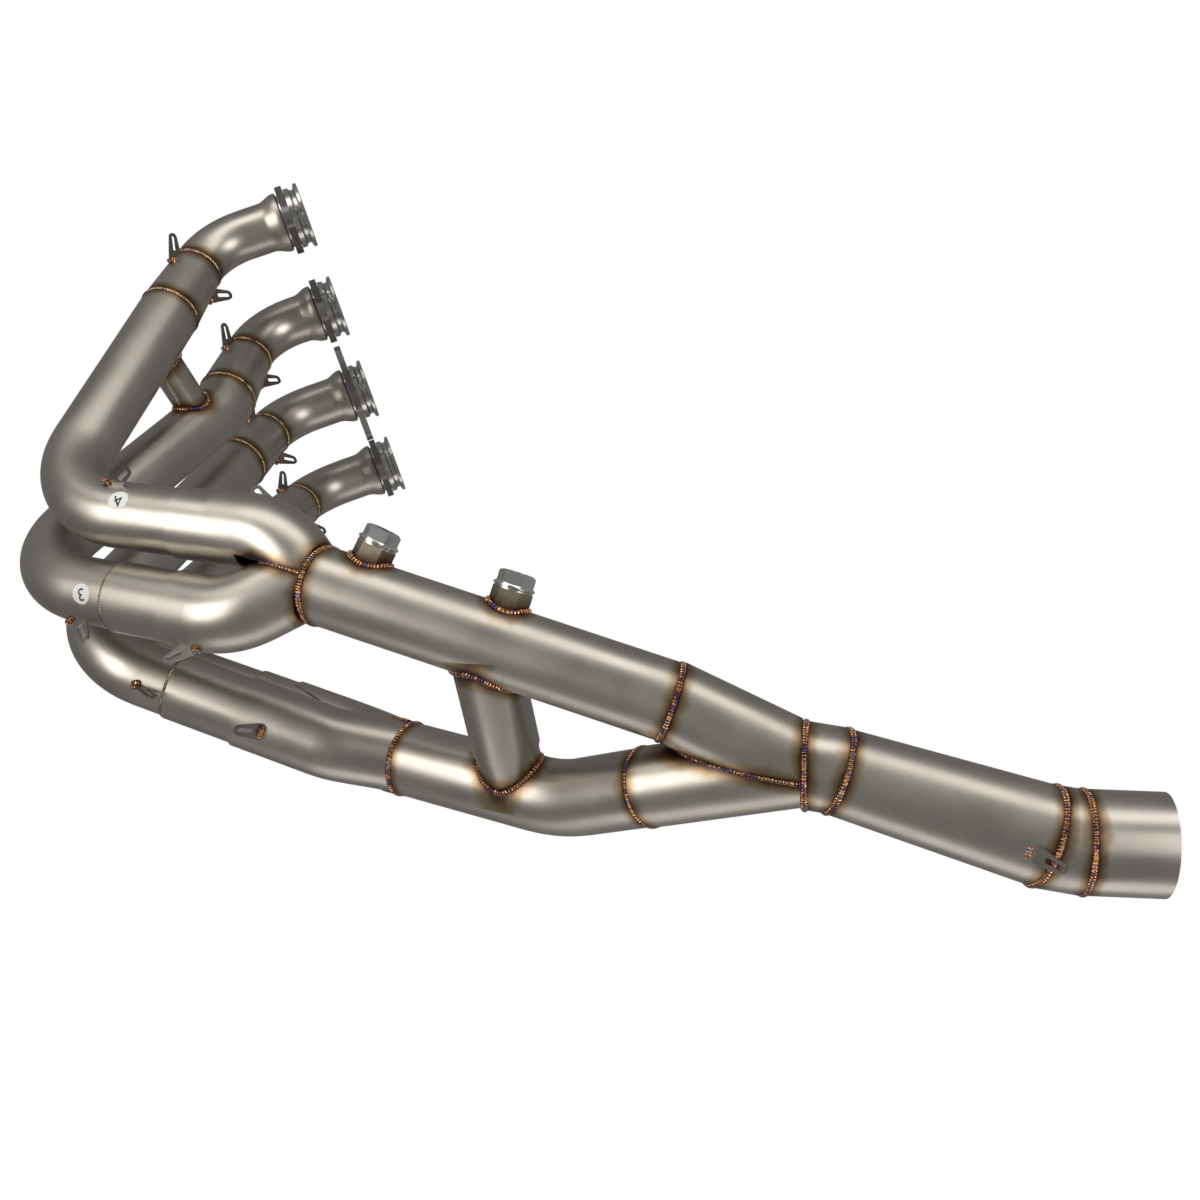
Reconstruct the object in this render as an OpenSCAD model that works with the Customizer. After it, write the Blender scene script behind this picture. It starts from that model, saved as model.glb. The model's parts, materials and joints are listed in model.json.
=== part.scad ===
// Exhaust header of a four-cylinder motorcycle, four pipes into two into one.
// The frame is the fitted one: +X runs to the rear, +Y across the machine, +Z up.
// The origin is the middle of the row of ports, on the faces of the port spigots.
// Pipe 4 is on the -Y side, then 3 and 2, and pipe 1 is on the +Y side.

/* [Ports] */
// Distance between neighbouring exhaust ports
port_pitch = 92; // [88:1:100]
// Angle of the port axes above the horizontal
port_tilt = 37.5; // [33:0.5:42]
// Outer diameter of the lip that seals in the port
lip_diameter = 50; // [49:0.5:52]
// Thickness of the lip
lip_thickness = 2.6; // [2:0.2:3]
// Diameter of the groove behind the lip
groove_diameter = 42; // [41.5:0.25:43]
// Diameter of the collar that the loose flange presses on
collar_diameter = 46.4; // [45.4:0.2:47.6]
// Distance from the spigot face to the loose flange
flange_setback = 11.4; // [10.4:0.2:13]

/* [Loose flanges] */
// Thickness of a flange plate
flange_thickness = 5.4; // [4.4:0.2:6.6]
// Distance between the two stud holes
stud_spacing = 62; // [60:1:66]
// Diameter of a stud hole
stud_hole_diameter = 8.6; // [8.2:0.2:9]
// Diameter of the round middle of the plate
flange_middle_diameter = 53; // [51:1:55]
// Radius of each ear around its stud hole
flange_ear_radius = 11; // [9.5:0.5:12]
// Play between the plate and the neck of the spigot
flange_play = 0.4; // [0.2:0.1:0.6]
// Turn of the plates on pipes 1, 3 and 4 about the port axis
flange_turn = 52; // [30:2:70]
// Turn of the plate on pipe 2 about the port axis
flange_turn_2 = -40; // [-60:5:-20]

/* [Tube sizes] */
// Outer diameter of the head pipes
head_diameter = 38.1; // [36.6:0.5:39.6]
// Outer diameter of the flare at the start of a head pipe
flare_diameter = 45.6; // [44.1:0.5:47.1]
// Outer diameter of the long primary pipes
primary_diameter = 44.5; // [43.5:0.5:46]
// Outer diameter of the two secondary pipes
secondary_diameter = 50.8; // [50:0.4:52]
// Outer diameter of the two collector legs
collector_leg_diameter = 52; // [51.6:0.2:52.4]
// Outer diameter of the collar where the collector legs become one
collar_tube_diameter = 54; // [53.6:0.2:54.4]
// Outer diameter at the wide end of the cone
cone_end_diameter = 62.6; // [62:0.2:63.2]
// Outer diameter of the outlet sleeve
outlet_diameter = 63.5; // [63:0.25:64]
// Wall of the outlet sleeve
outlet_wall = 1.5; // [1.2:0.1:1.8]
// Wall of every other tube
tube_wall = 1.2; // [1:0.1:1.5]
// Play of a slip joint, all round
slip_play = 0.15; // [0.1:0.05:0.25]

/* [Head pipes] */
// Distance from the spigot face to the corner of the head bend
head_reach = 77; // [74:1:84]
// The same distance on pipe 3
head_reach_3 = 68; // [62:1:70]
// Radius of the head bend
head_bend_radius = 50; // [46:1:54]
// Straight end of the head pipe after its bend
head_tail = 2; // [1:0.5:4]
// Length of the tapered sleeve between head pipe and primary
sleeve_length = 50; // [44:1:54]

/* [Primary pipes] */
// Radius of the bends under the engine
lower_bend_radius = 60; // [56:1:66]
// Forward reach of the lower corners of pipes 1 and 4
outer_corner_reach = 40; // [36:1:46]
// Forward reach of the lower corner of pipe 2
corner_reach_2 = 46; // [42:1:50]
// Forward reach of the lower corner of pipe 3
corner_reach_3 = 61; // [58:1:65]
// Height of the lower corner of pipe 1 over the ring where pipes 3 and 4 become one
corner_rise_1 = 6; // [1:1:11]
// Height of the lower corner of pipe 2 over that ring
corner_rise_2 = -31; // [-37:1:-27]
// Height of the lower corner of pipe 3 over that ring
corner_rise_3 = -22; // [-28:1:-21]
// Height of the lower corner of pipe 4 over that ring
corner_rise_4 = 13; // [10:1:19]
// Place of the lower corner of pipe 1 across the machine
corner_side_1 = 8; // [4:1:14]
// Place of the lower corner of pipe 2 across the machine
corner_side_2 = -50; // [-54:1:-47]
// Place of the lower corner of pipe 3 across the machine
corner_side_3 = -110; // [-113:1:-107]
// Place of the lower corner of pipe 4 across the machine
corner_side_4 = -147; // [-154:1:-146]
// Drop of the slight kink in pipe 3 below the ports
kink_drop = 140; // [138:1:141]
// Forward reach of the kink in pipe 3
kink_reach = 37; // [33:1:43]
// Place of the kink in pipe 3 across the machine
kink_side = -56; // [-58:1:-50]
// Radius of the kink in pipe 3
kink_radius = 40; // [30:5:45]

/* [Slip joints] */
// Distance from the corner of fork legs 1 and 2 back to the edge of the socket
socket_setback = 66; // [62:1:72]
// The same distance on fork leg 3
socket_setback_3 = 40; // [38:1:45]
// The same distance on fork leg 4
socket_setback_4 = 42; // [38:1:48]
// Depth that a slip sleeve goes into its socket
slip_depth = 22; // [16:1:28]
// Part of the slip sleeve that shows on pipes 1 and 4
sleeve_show_1 = 27; // [22:1:32]
// Part of the slip sleeve that shows on pipe 2
sleeve_show_2 = 50; // [44:1:54]
// Part of the slip sleeve that shows on pipe 3
sleeve_show_3 = 45; // [36:1:48]
// Length of primary pipe inside its slip sleeve
sleeve_lap = 10; // [6:1:14]

/* [Forks] */
// Angle of fork legs 1, 2 and 4 to the axis of the secondary pipe
fork_angle = 37; // [35:1:39]
// The same angle of fork leg 3
fork_angle_3 = 46; // [44:1:48]
// Distance of fork legs 1 and 2 from the plane between the pair
fork_spacing = 27; // [26.5:0.5:28]
// The same distance on fork leg 3
fork_spacing_3 = 38; // [36:0.5:40]
// The same distance on fork leg 4
fork_spacing_4 = 22; // [21:0.5:28]
// Radius of the bends in the fork legs
fork_bend_radius = 46; // [40:1:50]
// Rearward place of the ring where pipes 3 and 4 become one
ring_34_rear = 167; // [164:1:172]
// Place of that ring across the machine
ring_34_side = -126; // [-128:1:-124]
// Drop of that ring below the ports
ring_34_drop = 341; // [339:1:344]
// Tilt of the cut at that ring about the line between the two pipes
ring_34_tilt = 18; // [0:2:24]
// Roll of the fork of pipes 3 and 4
fork_34_roll = -64; // [-68:1:-60]
// Rearward distance from that ring to the ring where pipes 1 and 2 become one
ring_12_behind = 27; // [24:1:31]
// Place of this second ring across the machine
ring_12_side = 29; // [27:1:32]
// Distance of the second ring below the first
ring_12_below = 21; // [19:1:24]
// Roll of the fork of pipes 1 and 2
fork_12_roll = 37; // [33:1:41]

/* [Secondary pipes] */
// Yaw of secondary pipe 3-4 towards +Y
secondary_34_yaw = 15.3; // [14.5:0.1:16]
// Length of secondary pipe 3-4
secondary_34_length = 236; // [232:1:240]
// Yaw of the cut at the end of that pipe, more than its own
end_34_yaw = 8; // [0:1:12]
// Pitch of the cut at the end of that pipe
end_34_pitch = 5; // [0:1:8]
// Rearward distance from the start of secondary pipe 1-2 to its bend
bend_12_reach = 122; // [119:1:126]
// Place of that bend across the machine
bend_12_side = 21; // [18:1:24]
// Distance of that bend below the start of the pipe
bend_12_below = 13; // [10:1:15]
// Radius of that bend
bend_12_radius = 90; // [80:5:110]
// Rearward distance from that bend to the end of the pipe
end_12_reach = 66; // [64:1:69]
// Place of that end across the machine
end_12_side = -11; // [-13:1:-9]
// Distance of that end below the start of the pipe
end_12_below = 9; // [7:1:11]

/* [Collector and outlet] */
// Rearward distance from the end of secondary pipe 3-4 to the point where the collector legs meet
meet_reach = 81.4; // [79:0.2:84]
// Place of that point across the machine
meet_side = -35; // [-37:1:-33]
// Distance of that point below the end of secondary pipe 3-4
meet_below = 9; // [7:1:11]
// Yaw of the cut across the collector legs
meet_yaw = 3; // [-3:1:6]
// Pitch of the cut across the collector legs
meet_pitch = 12; // [8:1:14]
// Length of the collar along its middle
collar_length = 19.5; // [18:0.5:22]
// Yaw of the cone
cone_yaw = 13; // [11:0.5:15]
// Pitch of the cone
cone_pitch = 0; // [-1:0.5:1]
// Yaw of the cuts at both ends of the cone
cone_cut_yaw = 24; // [14:1:26]
// Pitch of the cuts at both ends of the cone
cone_cut_pitch = 7; // [0:1:9]
// Length of the cone
cone_length = 132; // [124:1:140]
// Length of the wedge before the outlet along its middle
wedge_length = 18.5; // [17:0.5:21]
// Yaw of the outlet sleeve
outlet_yaw = 10; // [8:0.5:12]
// Pitch of the outlet sleeve
outlet_pitch = 16; // [14:0.5:18]
// Length of the outlet sleeve
outlet_length = 51; // [46:1:60]

/* [Crossover pipes] */
// Outer diameter of the small crossovers between the primary pipes
small_crossover_diameter = 25; // [23:0.5:27]
// Drop of the small crossovers below the ports
small_crossover_drop = 160; // [158:1:164]
// Outer diameter of the crossover between the secondary pipes
main_crossover_diameter = 45; // [43:0.5:46.5]
// Place of the main crossover along secondary pipe 3-4
main_crossover_on_34 = 109; // [105:1:114]
// Place of the main crossover along secondary pipe 1-2
main_crossover_on_12 = 88; // [84:1:92]
// Gap between the end of the main crossover and the wall of secondary pipe 1-2
stub_show = 12; // [10:0.5:15]

/* [Sensor bungs] */
// Place of the front bung along secondary pipe 3-4
front_bung_place = 23; // [22:1:30]
// Place of the rear bung along secondary pipe 3-4
rear_bung_place = 119; // [115:1:124]
// Turn of the bungs from straight up towards -Y
bung_turn = 38; // [34:1:42]
// Rearward lean of the front bung
front_bung_lean = 8; // [6:1:10]
// Size of a bung across its flats
bung_flats = 23; // [22:0.5:24.5]
// Height of a bung over the tube, on its axis
bung_height = 10; // [9:0.5:12]
// Diameter of the threaded hole
bung_bore = 18; // [17:0.5:19]
// Diameter of the flange on a plug
plug_flange_diameter = 27; // [26.5:0.5:28]
// Thickness of the flange on a plug
plug_flange_thickness = 2.4; // [2:0.2:3]
// Size of a plug across its flats
plug_flats = 21; // [19:0.5:22]
// Height of the hexagon on a plug
plug_hex_height = 7.5; // [7:0.5:9]
// Thickness of the sealing washer
washer_thickness = 1.2; // [1:0.1:1.5]

/* [Spring tabs] */
// Length of a tab from the tube to its tip
tab_length = 19; // [16:1:21]
// Width of a tab at its foot
tab_width = 12; // [11:0.5:13]
// Radius of the tip of a tab
tab_tip_radius = 3.6; // [3.2:0.2:4.2]
// Thickness of a tab
tab_thickness = 1.5; // [1.2:0.1:2]
// Width of the slot in a tab
tab_slot = 3.4; // [3:0.2:4]
// Lift of a tab off the tube
tab_lift = 42; // [35:1:50]
// Lift of the outlet tab
outlet_tab_lift = 32; // [28:1:36]
// Distance of the outlet tab before the end of the cone
outlet_tab_place = 6; // [4:1:10]
// Distance of a slip tab before the weld of its slip sleeve
run_tab_place = 16; // [14:1:20]
// The same distance on pipe 3
run_tab_place_3 = 27; // [24:1:30]
// The same distance on pipe 4
run_tab_place_4 = 48; // [44:1:50]
// Distance of a slip tab behind the edge of its socket
leg_tab_place = 22; // [18:1:26]

/* [Weld beads] */
// Width of a ring bead
bead_width = 4.6; // [3.6:0.2:5.6]
// Height of a ring bead over the tube
bead_height = 1; // [0.7:0.1:1.3]

/* [Hidden] */
$fn = 64;

// Reach of a cutting block, and the extra length that a cut runs past a face
far = 400;
past = 2;
hair = 0.16;
up = [0, 0, 1];
port_axis = [cos(port_tilt), 0, sin(port_tilt)];

// Small steps of the spigots and the gap behind a flange
flange_gap = 0.2;
spigot_step = 1.4;
neck_step = 1.2;

// Diameters that follow from the fits
head_bore = head_diameter - 2 * tube_wall;
neck_diameter = groove_diameter - neck_step;
sleeve_bore = primary_diameter + 2 * slip_play;
sleeve_diameter = sleeve_bore + 2 * tube_wall;
leg_bore = sleeve_diameter + 2 * slip_play;
leg_diameter = leg_bore + 2 * tube_wall;
stub_diameter = main_crossover_diameter - 2 * tube_wall - 2 * slip_play;
spigot_length = flange_setback + flange_thickness + spigot_step;
thread_play = 0.1;

// Lower corners of the pipes, and the extra corner of pipe 3
corners = [
    [-outer_corner_reach, corner_side_1, corner_rise_1 - ring_34_drop],
    [-corner_reach_2, corner_side_2, corner_rise_2 - ring_34_drop],
    [-corner_reach_3, corner_side_3, corner_rise_3 - ring_34_drop],
    [-outer_corner_reach, corner_side_4, corner_rise_4 - ring_34_drop]
];
kink = [-kink_reach, kink_side, -kink_drop];

// Plain vector helpers
function unit(v) = v / norm(v);
function between(a, b, t) = a + (b - a) * t;
function heading(yaw, pitch) = [cos(pitch) * cos(yaw), cos(pitch) * sin(yaw), sin(pitch)];
function turned(v, axis, angle) = v * cos(angle) + cross(axis, v) * sin(angle)
    + axis * (axis * v) * (1 - cos(angle));
function square_to(v, axis) = unit(v - axis * (axis * v));

// Bends of a route, which is a list of corners with one radius for all of them
function leg_way(route, k) = unit(route[k + 1] - route[k]);
function bend_angle(route, k) = acos(min(1, leg_way(route, k - 1) * leg_way(route, k)));
function bend_reach(route, k, radius) =
    (k == 0 || k == len(route) - 1) ? 0 : radius * tan(bend_angle(route, k) / 2);

// Places along the pipes
function port(i) = [0, (2.5 - i) * port_pitch, 0];
function head_corner(i) = port(i) - port_axis * (i == 3 ? head_reach_3 : head_reach);
function below_head(i) = i == 3 ? kink : corners[i - 1];
function drop_way(i) = unit(below_head(i) - head_corner(i));
function head_angle(i) = acos(-port_axis * drop_way(i));
function head_end(i) = head_corner(i)
    + drop_way(i) * (head_bend_radius * tan(head_angle(i) / 2) + head_tail);
function sleeve_end(i) = head_end(i) + drop_way(i) * sleeve_length;
function sleeve_show(i) = [sleeve_show_1, sleeve_show_2, sleeve_show_3, sleeve_show_1][i - 1];

// Rings where two pipes become one
ring_34 = [ring_34_rear, ring_34_side, -ring_34_drop];
ring_12 = [ring_34_rear + ring_12_behind, ring_12_side, -ring_34_drop - ring_12_below];
bend_12 = [ring_12[0] + bend_12_reach, bend_12_side, ring_12[2] - bend_12_below];
end_12 = [bend_12[0] + end_12_reach, end_12_side, ring_12[2] - end_12_below];
way_34 = heading(secondary_34_yaw, 0);
way_12 = unit(bend_12 - ring_12);
end_34 = ring_34 + way_34 * secondary_34_length;
leg_cut_34 = heading(secondary_34_yaw + end_34_yaw, end_34_pitch);
across_34 = turned(square_to([0, 1, 0], way_34), way_34, fork_34_roll);
across_12 = turned(square_to([0, 1, 0], way_12), way_12, fork_12_roll);

// Each fork leg lies on one side of the plane between the pair
function is_34(i) = i > 2;
function fork_side(i) = (i == 1 || i == 3) ? 1 : -1;
cut_34 = turned(way_34, across_34, ring_34_tilt);
function ring_cut(i) = is_34(i) ? cut_34 : way_12;
function ring(i) = is_34(i) ? ring_34 : ring_12;
function ring_way(i) = is_34(i) ? way_34 : way_12;
function ring_across(i) = (is_34(i) ? across_34 : across_12) * fork_side(i);
function leg_spacing(i) = [fork_spacing, fork_spacing, fork_spacing_3, fork_spacing_4][i - 1];
function leg_angle(i) = i == 3 ? fork_angle_3 : fork_angle;
function overshoot(i) = leg_diameter / 2 / cos(leg_angle(i)) - secondary_diameter / 2;
function fork_back(i) = (leg_spacing(i) + overshoot(i)) / tan(leg_angle(i));
function fork_corner(i) = ring(i) - ring_way(i) * fork_back(i) + ring_across(i) * leg_spacing(i);
function fork_end(i) = ring(i) - ring_across(i) * overshoot(i);
function run_way(i) = unit(fork_corner(i) - corners[i - 1]);
function setback(i) = [socket_setback, socket_setback, socket_setback_3, socket_setback_4][i - 1];
function socket_edge(i) = fork_corner(i) - run_way(i) * setback(i);
function slip_start(i) = socket_edge(i) - run_way(i) * sleeve_show(i);

// Collector and outlet
meet = [end_34[0] + meet_reach, meet_side, end_34[2] - meet_below];
meet_way = heading(meet_yaw, meet_pitch);
cone_way = heading(cone_yaw, cone_pitch);
collar_way = unit(meet_way + cone_way);
cone_start = meet + collar_way * collar_length;
cone_cut = heading(cone_cut_yaw, cone_cut_pitch);
cone_end = cone_start + cone_way * cone_length;
outlet_way = heading(outlet_yaw, outlet_pitch);
wedge_way = unit(cone_way + outlet_way);
wedge_diameter = (cone_end_diameter + outlet_diameter) / 2;
outlet_start = cone_end + wedge_way * wedge_length;
outlet_end = outlet_start + outlet_way * outlet_length;
leg_34_way = unit(meet - end_34);
leg_12_way = unit(meet - end_12);
legs_apart = unit(leg_34_way - leg_12_way);

// Routes, each a list of corners
function head_route(i) = [port(i) - port_axis * spigot_length, head_corner(i), head_end(i)];
function primary_route(i) = i == 3
    ? [sleeve_end(i), kink, corners[i - 1], slip_start(i) + run_way(i) * sleeve_lap]
    : [sleeve_end(i), corners[i - 1], slip_start(i) + run_way(i) * sleeve_lap];
function primary_radii(i) = i == 3 ? [0, kink_radius, lower_bend_radius, 0] : [0, lower_bend_radius, 0];
function fork_route(i) = [socket_edge(i), fork_corner(i), fork_end(i)];
secondary_12_route = [ring_12, bend_12, end_12];
leg_cut_12 = leg_way(secondary_12_route, 1);

// Ends of the crossovers on the axes of the pipes that they join
function leg_point(i, drop) = i == 3
    ? between(kink, corners[2], (drop - kink_drop) / (-corners[2][2] - kink_drop))
    : between(head_corner(i), corners[i - 1],
        (drop + head_corner(i)[2]) / (-corners[i - 1][2] + head_corner(i)[2]));
main_top = ring_34 + way_34 * main_crossover_on_34;
main_foot = ring_12 + way_12 * main_crossover_on_12;
main_way = unit(main_foot - main_top);
main_reach = norm(main_foot - main_top);
main_joint = main_foot - main_way * (secondary_diameter / 2 + stub_show);
stub_lap = 8;
cone_rise = (cone_end_diameter - collar_tube_diameter) / 2 / cone_length;

// Root of a tab inside the tube, the start of its slot as a share of its length, and the gap
// between a head tab and the weld beside it
tab_root = 5;
slot_share = 0.28;
head_tab_gap = 1.3;

// Bungs stand on secondary pipe 3-4
bung_up = turned(square_to(up, way_34), way_34, bung_turn);
front_bung_way = unit(bung_up * cos(front_bung_lean) + way_34 * sin(front_bung_lean));
front_bung_base = ring_34 + way_34 * front_bung_place;
rear_bung_base = ring_34 + way_34 * rear_bung_place;
bung_top = secondary_diameter / 2 + bung_height;
hex_ratio = 1 / cos(30);

// Puts a shape that was drawn about the origin at a point, with its Z along a way
module place(point, way, side) {
    z = unit(way);
    x = square_to(side, z);
    y = cross(z, x);
    multmatrix([
        [x[0], y[0], z[0], point[0]],
        [x[1], y[1], z[1], point[1]],
        [x[2], y[2], z[2], point[2]],
        [0, 0, 0, 1]
    ]) children();
}

// A sideways direction that is never along the way
function any_side(way) = abs(way[0]) < 0.7 ? [1, 0, 0] : [0, 1, 0];

// Solid rod from one point to another
module rod(from, to, diameter) {
    place(from, to - from, any_side(unit(to - from)))
        cylinder(d = diameter, h = norm(to - from));
}

// Solid bend at corner k of a route. It is a hair thinner than its straights, which reach a
// hair into it, so that the surfaces of the two never touch along a tangent.
module elbow(route, k, radius, diameter) {
    before = leg_way(route, k - 1);
    inward = square_to(leg_way(route, k), before);
    start = route[k] - before * bend_reach(route, k, radius);
    place(start + inward * radius, cross(before, inward), -inward)
        rotate_extrude(angle = bend_angle(route, k))
            translate([radius, 0]) circle(d = diameter - hair);
}

// Solid that follows a route, with a radius for each corner
module bent_rod(route, radii, diameter, before = 0, after = 0) {
    last = len(route) - 1;
    for (k = [0:last - 1]) {
        way = leg_way(route, k);
        start = k == 0 ? -before : bend_reach(route, k, radii[k]) - hair;
        finish = k == last - 1 ? -after : bend_reach(route, k + 1, radii[k + 1]) - hair;
        rod(route[k] + way * start, route[k + 1] - way * finish, diameter);
    }
    for (k = [1:1:last - 1]) elbow(route, k, radii[k], diameter);
}

// Tube that follows a route
module bent_tube(route, radii, diameter, wall = tube_wall) {
    difference() {
        bent_rod(route, radii, diameter);
        bent_rod(route, radii, diameter - 2 * wall, past, past);
    }
}

// Block that fills everything ahead of a plane
module ahead_of(point, way) {
    place(point, way, any_side(unit(way)))
        translate([-far / 2, -far / 2, 0]) cube([far, far, far]);
}

// Outline of a two-stud flange: a round middle, an ear at each stud, and straight sides that
// run a hair inside the line that touches both
module flange_outline(middle, ear, reach) {
    lean = asin((middle - ear) / reach);
    inner = middle - hair;
    outer = ear - hair;
    side = [
        [reach + outer * sin(lean), outer * cos(lean)],
        [inner * sin(lean), inner * cos(lean)]
    ];
    polygon(concat(
        side,
        [[-side[1][0], side[1][1]], [-side[0][0], side[0][1]]],
        [-side[0], -side[1]],
        [[side[1][0], -side[1][1]], [side[0][0], -side[0][1]]]
    ));
    circle(r = middle);
    for (x = [-reach, reach]) translate([x, 0]) circle(r = ear);
}

// Turned spigot: sealing lip, hollow groove, collar, and the neck that carries the flange
module port_spigot(i) {
    groove_start = lip_thickness + 1.4;
    collar_start = flange_setback - 3.6;
    color("silver") place(port(i), -port_axis, [0, 1, 0]) rotate_extrude() polygon([
        [head_bore / 2, 0],
        [lip_diameter / 2 - 0.6, 0],
        [lip_diameter / 2, 0.6],
        [lip_diameter / 2, lip_thickness],
        [groove_diameter / 2, groove_start],
        [groove_diameter / 2, collar_start - 1.6],
        [collar_diameter / 2, collar_start],
        [collar_diameter / 2, flange_setback],
        [neck_diameter / 2, flange_setback],
        [neck_diameter / 2, spigot_length],
        [head_bore / 2, spigot_length]
    ]);
}

// Loose flange with two stud holes
module head_flange(i) {
    turn = i == 2 ? flange_turn_2 : flange_turn;
    ear = stud_spacing / 2;
    color("dimgray")
        place(port(i) - port_axis * (flange_setback + flange_gap), -port_axis, [0, 1, 0])
        rotate(-turn) difference() {
            linear_extrude(flange_thickness)
                flange_outline(flange_middle_diameter / 2, flange_ear_radius, ear);
            translate([0, 0, -past])
                cylinder(d = neck_diameter + 2 * flange_play, h = flange_thickness + 2 * past);
            for (x = [-ear, ear]) translate([x, 0, -past])
                cylinder(d = stud_hole_diameter, h = flange_thickness + 2 * past);
        }
}

// Head pipe: flared start behind the flange, a straight and one bend
module head_pipe(i) {
    route = head_route(i);
    radii = [0, head_bend_radius, 0];
    rise = (flare_diameter - head_diameter) / 2;
    flare = [for (t = [0:0.125:1]) [head_diameter / 2 + rise * (1 + cos(180 * t)) / 2, 2 + 13 * t]];
    color("tan") difference() {
        union() {
            bent_rod(route, radii, head_diameter);
            place(route[0], -port_axis, [0, 1, 0]) rotate_extrude() polygon(concat(
                [[0, 0], [flare_diameter / 2 - 1, 0], [flare_diameter / 2, 1]], flare, [[0, 15]]));
        }
        bent_rod(route, radii, head_bore, past, past);
    }
}

// Tapered sleeve between a head pipe and its primary
module tapered_sleeve(i) {
    color("tan") place(head_end(i), drop_way(i), [0, 1, 0]) rotate_extrude() polygon([
        [head_bore / 2, 0],
        [head_diameter / 2, 0],
        [primary_diameter / 2, sleeve_length],
        [primary_diameter / 2 - tube_wall, sleeve_length]
    ]);
}

// Openings that the small crossover and the bungs need in the tubes they stand on
module small_gas_way(i) {
    first = i > 2 ? 3 : 1;
    a = leg_point(first, small_crossover_drop);
    b = leg_point(first + 1, small_crossover_drop);
    rod(a, b, small_crossover_diameter - 2 * tube_wall);
}

// Primary pipe: down from the head, round under the engine and back to the slip joint
module primary_pipe(i) {
    color("tan") difference() {
        bent_tube(primary_route(i), primary_radii(i), primary_diameter);
        small_gas_way(i);
    }
}

// Slip sleeve on the end of a primary pipe
module slip_sleeve(i) {
    start = slip_start(i);
    end = socket_edge(i) + run_way(i) * slip_depth;
    color("burlywood") difference() {
        rod(start, end, sleeve_diameter);
        rod(start - run_way(i) * past, end + run_way(i) * past, sleeve_bore);
    }
}

// Solid form of a fork leg before it is hollowed and cut
module fork_leg_rod(i, diameter, before = 0) {
    bent_rod(fork_route(i), [0, fork_bend_radius, 0], diameter, before, leg_diameter);
}

// Fork leg: socket, bend, and the cuts on the plane of the pair and on the ring
module fork_leg(i) {
    color("tan") difference() {
        fork_leg_rod(i, leg_diameter);
        fork_leg_rod(i, leg_bore, past);
        ahead_of(ring(i), ring_cut(i));
        ahead_of(ring(i), -ring_across(i));
    }
}

// Openings of the main crossover in the secondary pipes
module main_gas_way() {
    rod(main_top, main_foot, stub_diameter - 2 * tube_wall);
}

// Short tube with both of its ends cut square to its neighbours
module mitred_tube(start, start_way, finish, finish_way, way, diameter, wall = tube_wall) {
    reach = diameter / 2;
    difference() {
        rod(start - way * reach, finish + way * reach, diameter);
        rod(start - way * (reach + past), finish + way * (reach + past), diameter - 2 * wall);
        ahead_of(start, -start_way);
        ahead_of(finish, finish_way);
    }
}

// Secondary pipe of cylinders 3 and 4, with the holes under both bungs
module secondary_pipe_34() {
    color("tan") difference() {
        mitred_tube(ring_34, cut_34, end_34, leg_cut_34, way_34, secondary_diameter);
        main_gas_way();
        rod(front_bung_base, front_bung_base + front_bung_way * bung_top, bung_bore);
        rod(rear_bung_base, rear_bung_base + bung_up * bung_top, bung_bore);
    }
}

// Secondary pipe of cylinders 1 and 2, with its bend towards the collector
module secondary_pipe_12() {
    color("tan") difference() {
        bent_tube(secondary_12_route, [0, bend_12_radius, 0], secondary_diameter);
        main_gas_way();
    }
}

// Collector leg: a tube cut where it starts, where it meets its partner and at the collar
module collector_leg(start, start_cut, way, away) {
    reach = collector_leg_diameter;
    finish = meet + way * reach;
    color("tan") difference() {
        rod(start - way * reach / 2, finish, collector_leg_diameter);
        rod(start - way * reach, finish + way * past, collector_leg_diameter - 2 * tube_wall);
        ahead_of(start, -start_cut);
        ahead_of(meet, meet_way);
        ahead_of(meet, away);
    }
}

// Collar that takes both collector legs
module collector_collar() {
    color("burlywood")
        mitred_tube(meet, meet_way, cone_start, cone_cut, collar_way, collar_tube_diameter);
}

// Solid cone, a given height over the cone's outer face, which runs on past both of its cuts
module cone_rod(height) {
    run_on = cone_end_diameter / 3;
    place(cone_start - cone_way * run_on, cone_way, up) cylinder(
        r1 = collar_tube_diameter / 2 - cone_rise * run_on + height,
        r2 = cone_end_diameter / 2 + cone_rise * run_on + height,
        h = cone_length + 2 * run_on
    );
}

// Cone that widens towards the outlet
module collector_cone() {
    color("tan") difference() {
        cone_rod(0);
        cone_rod(-tube_wall);
        ahead_of(cone_start, -cone_cut);
        ahead_of(cone_end, cone_cut);
    }
}

// Wedge that turns the outlet upwards
module outlet_wedge() {
    color("burlywood")
        mitred_tube(cone_end, cone_cut, outlet_start, outlet_way, wedge_way, wedge_diameter);
}

// Outlet sleeve that the silencer pipe slips into
module outlet_sleeve() {
    color("silver") bent_tube([outlet_start, outlet_end], [0, 0], outlet_diameter, outlet_wall);
}

// Small crossover between two neighbouring primary pipes
module small_crossover(first) {
    second = first + 1;
    a = leg_point(first, small_crossover_drop);
    b = leg_point(second, small_crossover_drop);
    color("burlywood") difference() {
        rod(a, b, small_crossover_diameter);
        rod(a, b, small_crossover_diameter - 2 * tube_wall);
        for (i = [first, second]) bent_rod(primary_route(i), primary_radii(i), primary_diameter);
    }
}

// Main crossover, which ends in a socket over the stub
module main_crossover() {
    color("burlywood") difference() {
        rod(main_top, main_joint, main_crossover_diameter);
        rod(main_top, main_joint + main_way * past, main_crossover_diameter - 2 * tube_wall);
        rod(ring_34, end_34, secondary_diameter);
    }
}

// Stub of the main crossover on secondary pipe 1-2
module crossover_stub() {
    start = main_joint - main_way * stub_lap;
    color("tan") difference() {
        rod(start, main_foot, stub_diameter);
        rod(start - main_way * past, main_foot, stub_diameter - 2 * tube_wall);
        bent_rod(secondary_12_route, [0, bend_12_radius, 0], secondary_diameter);
    }
}

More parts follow.
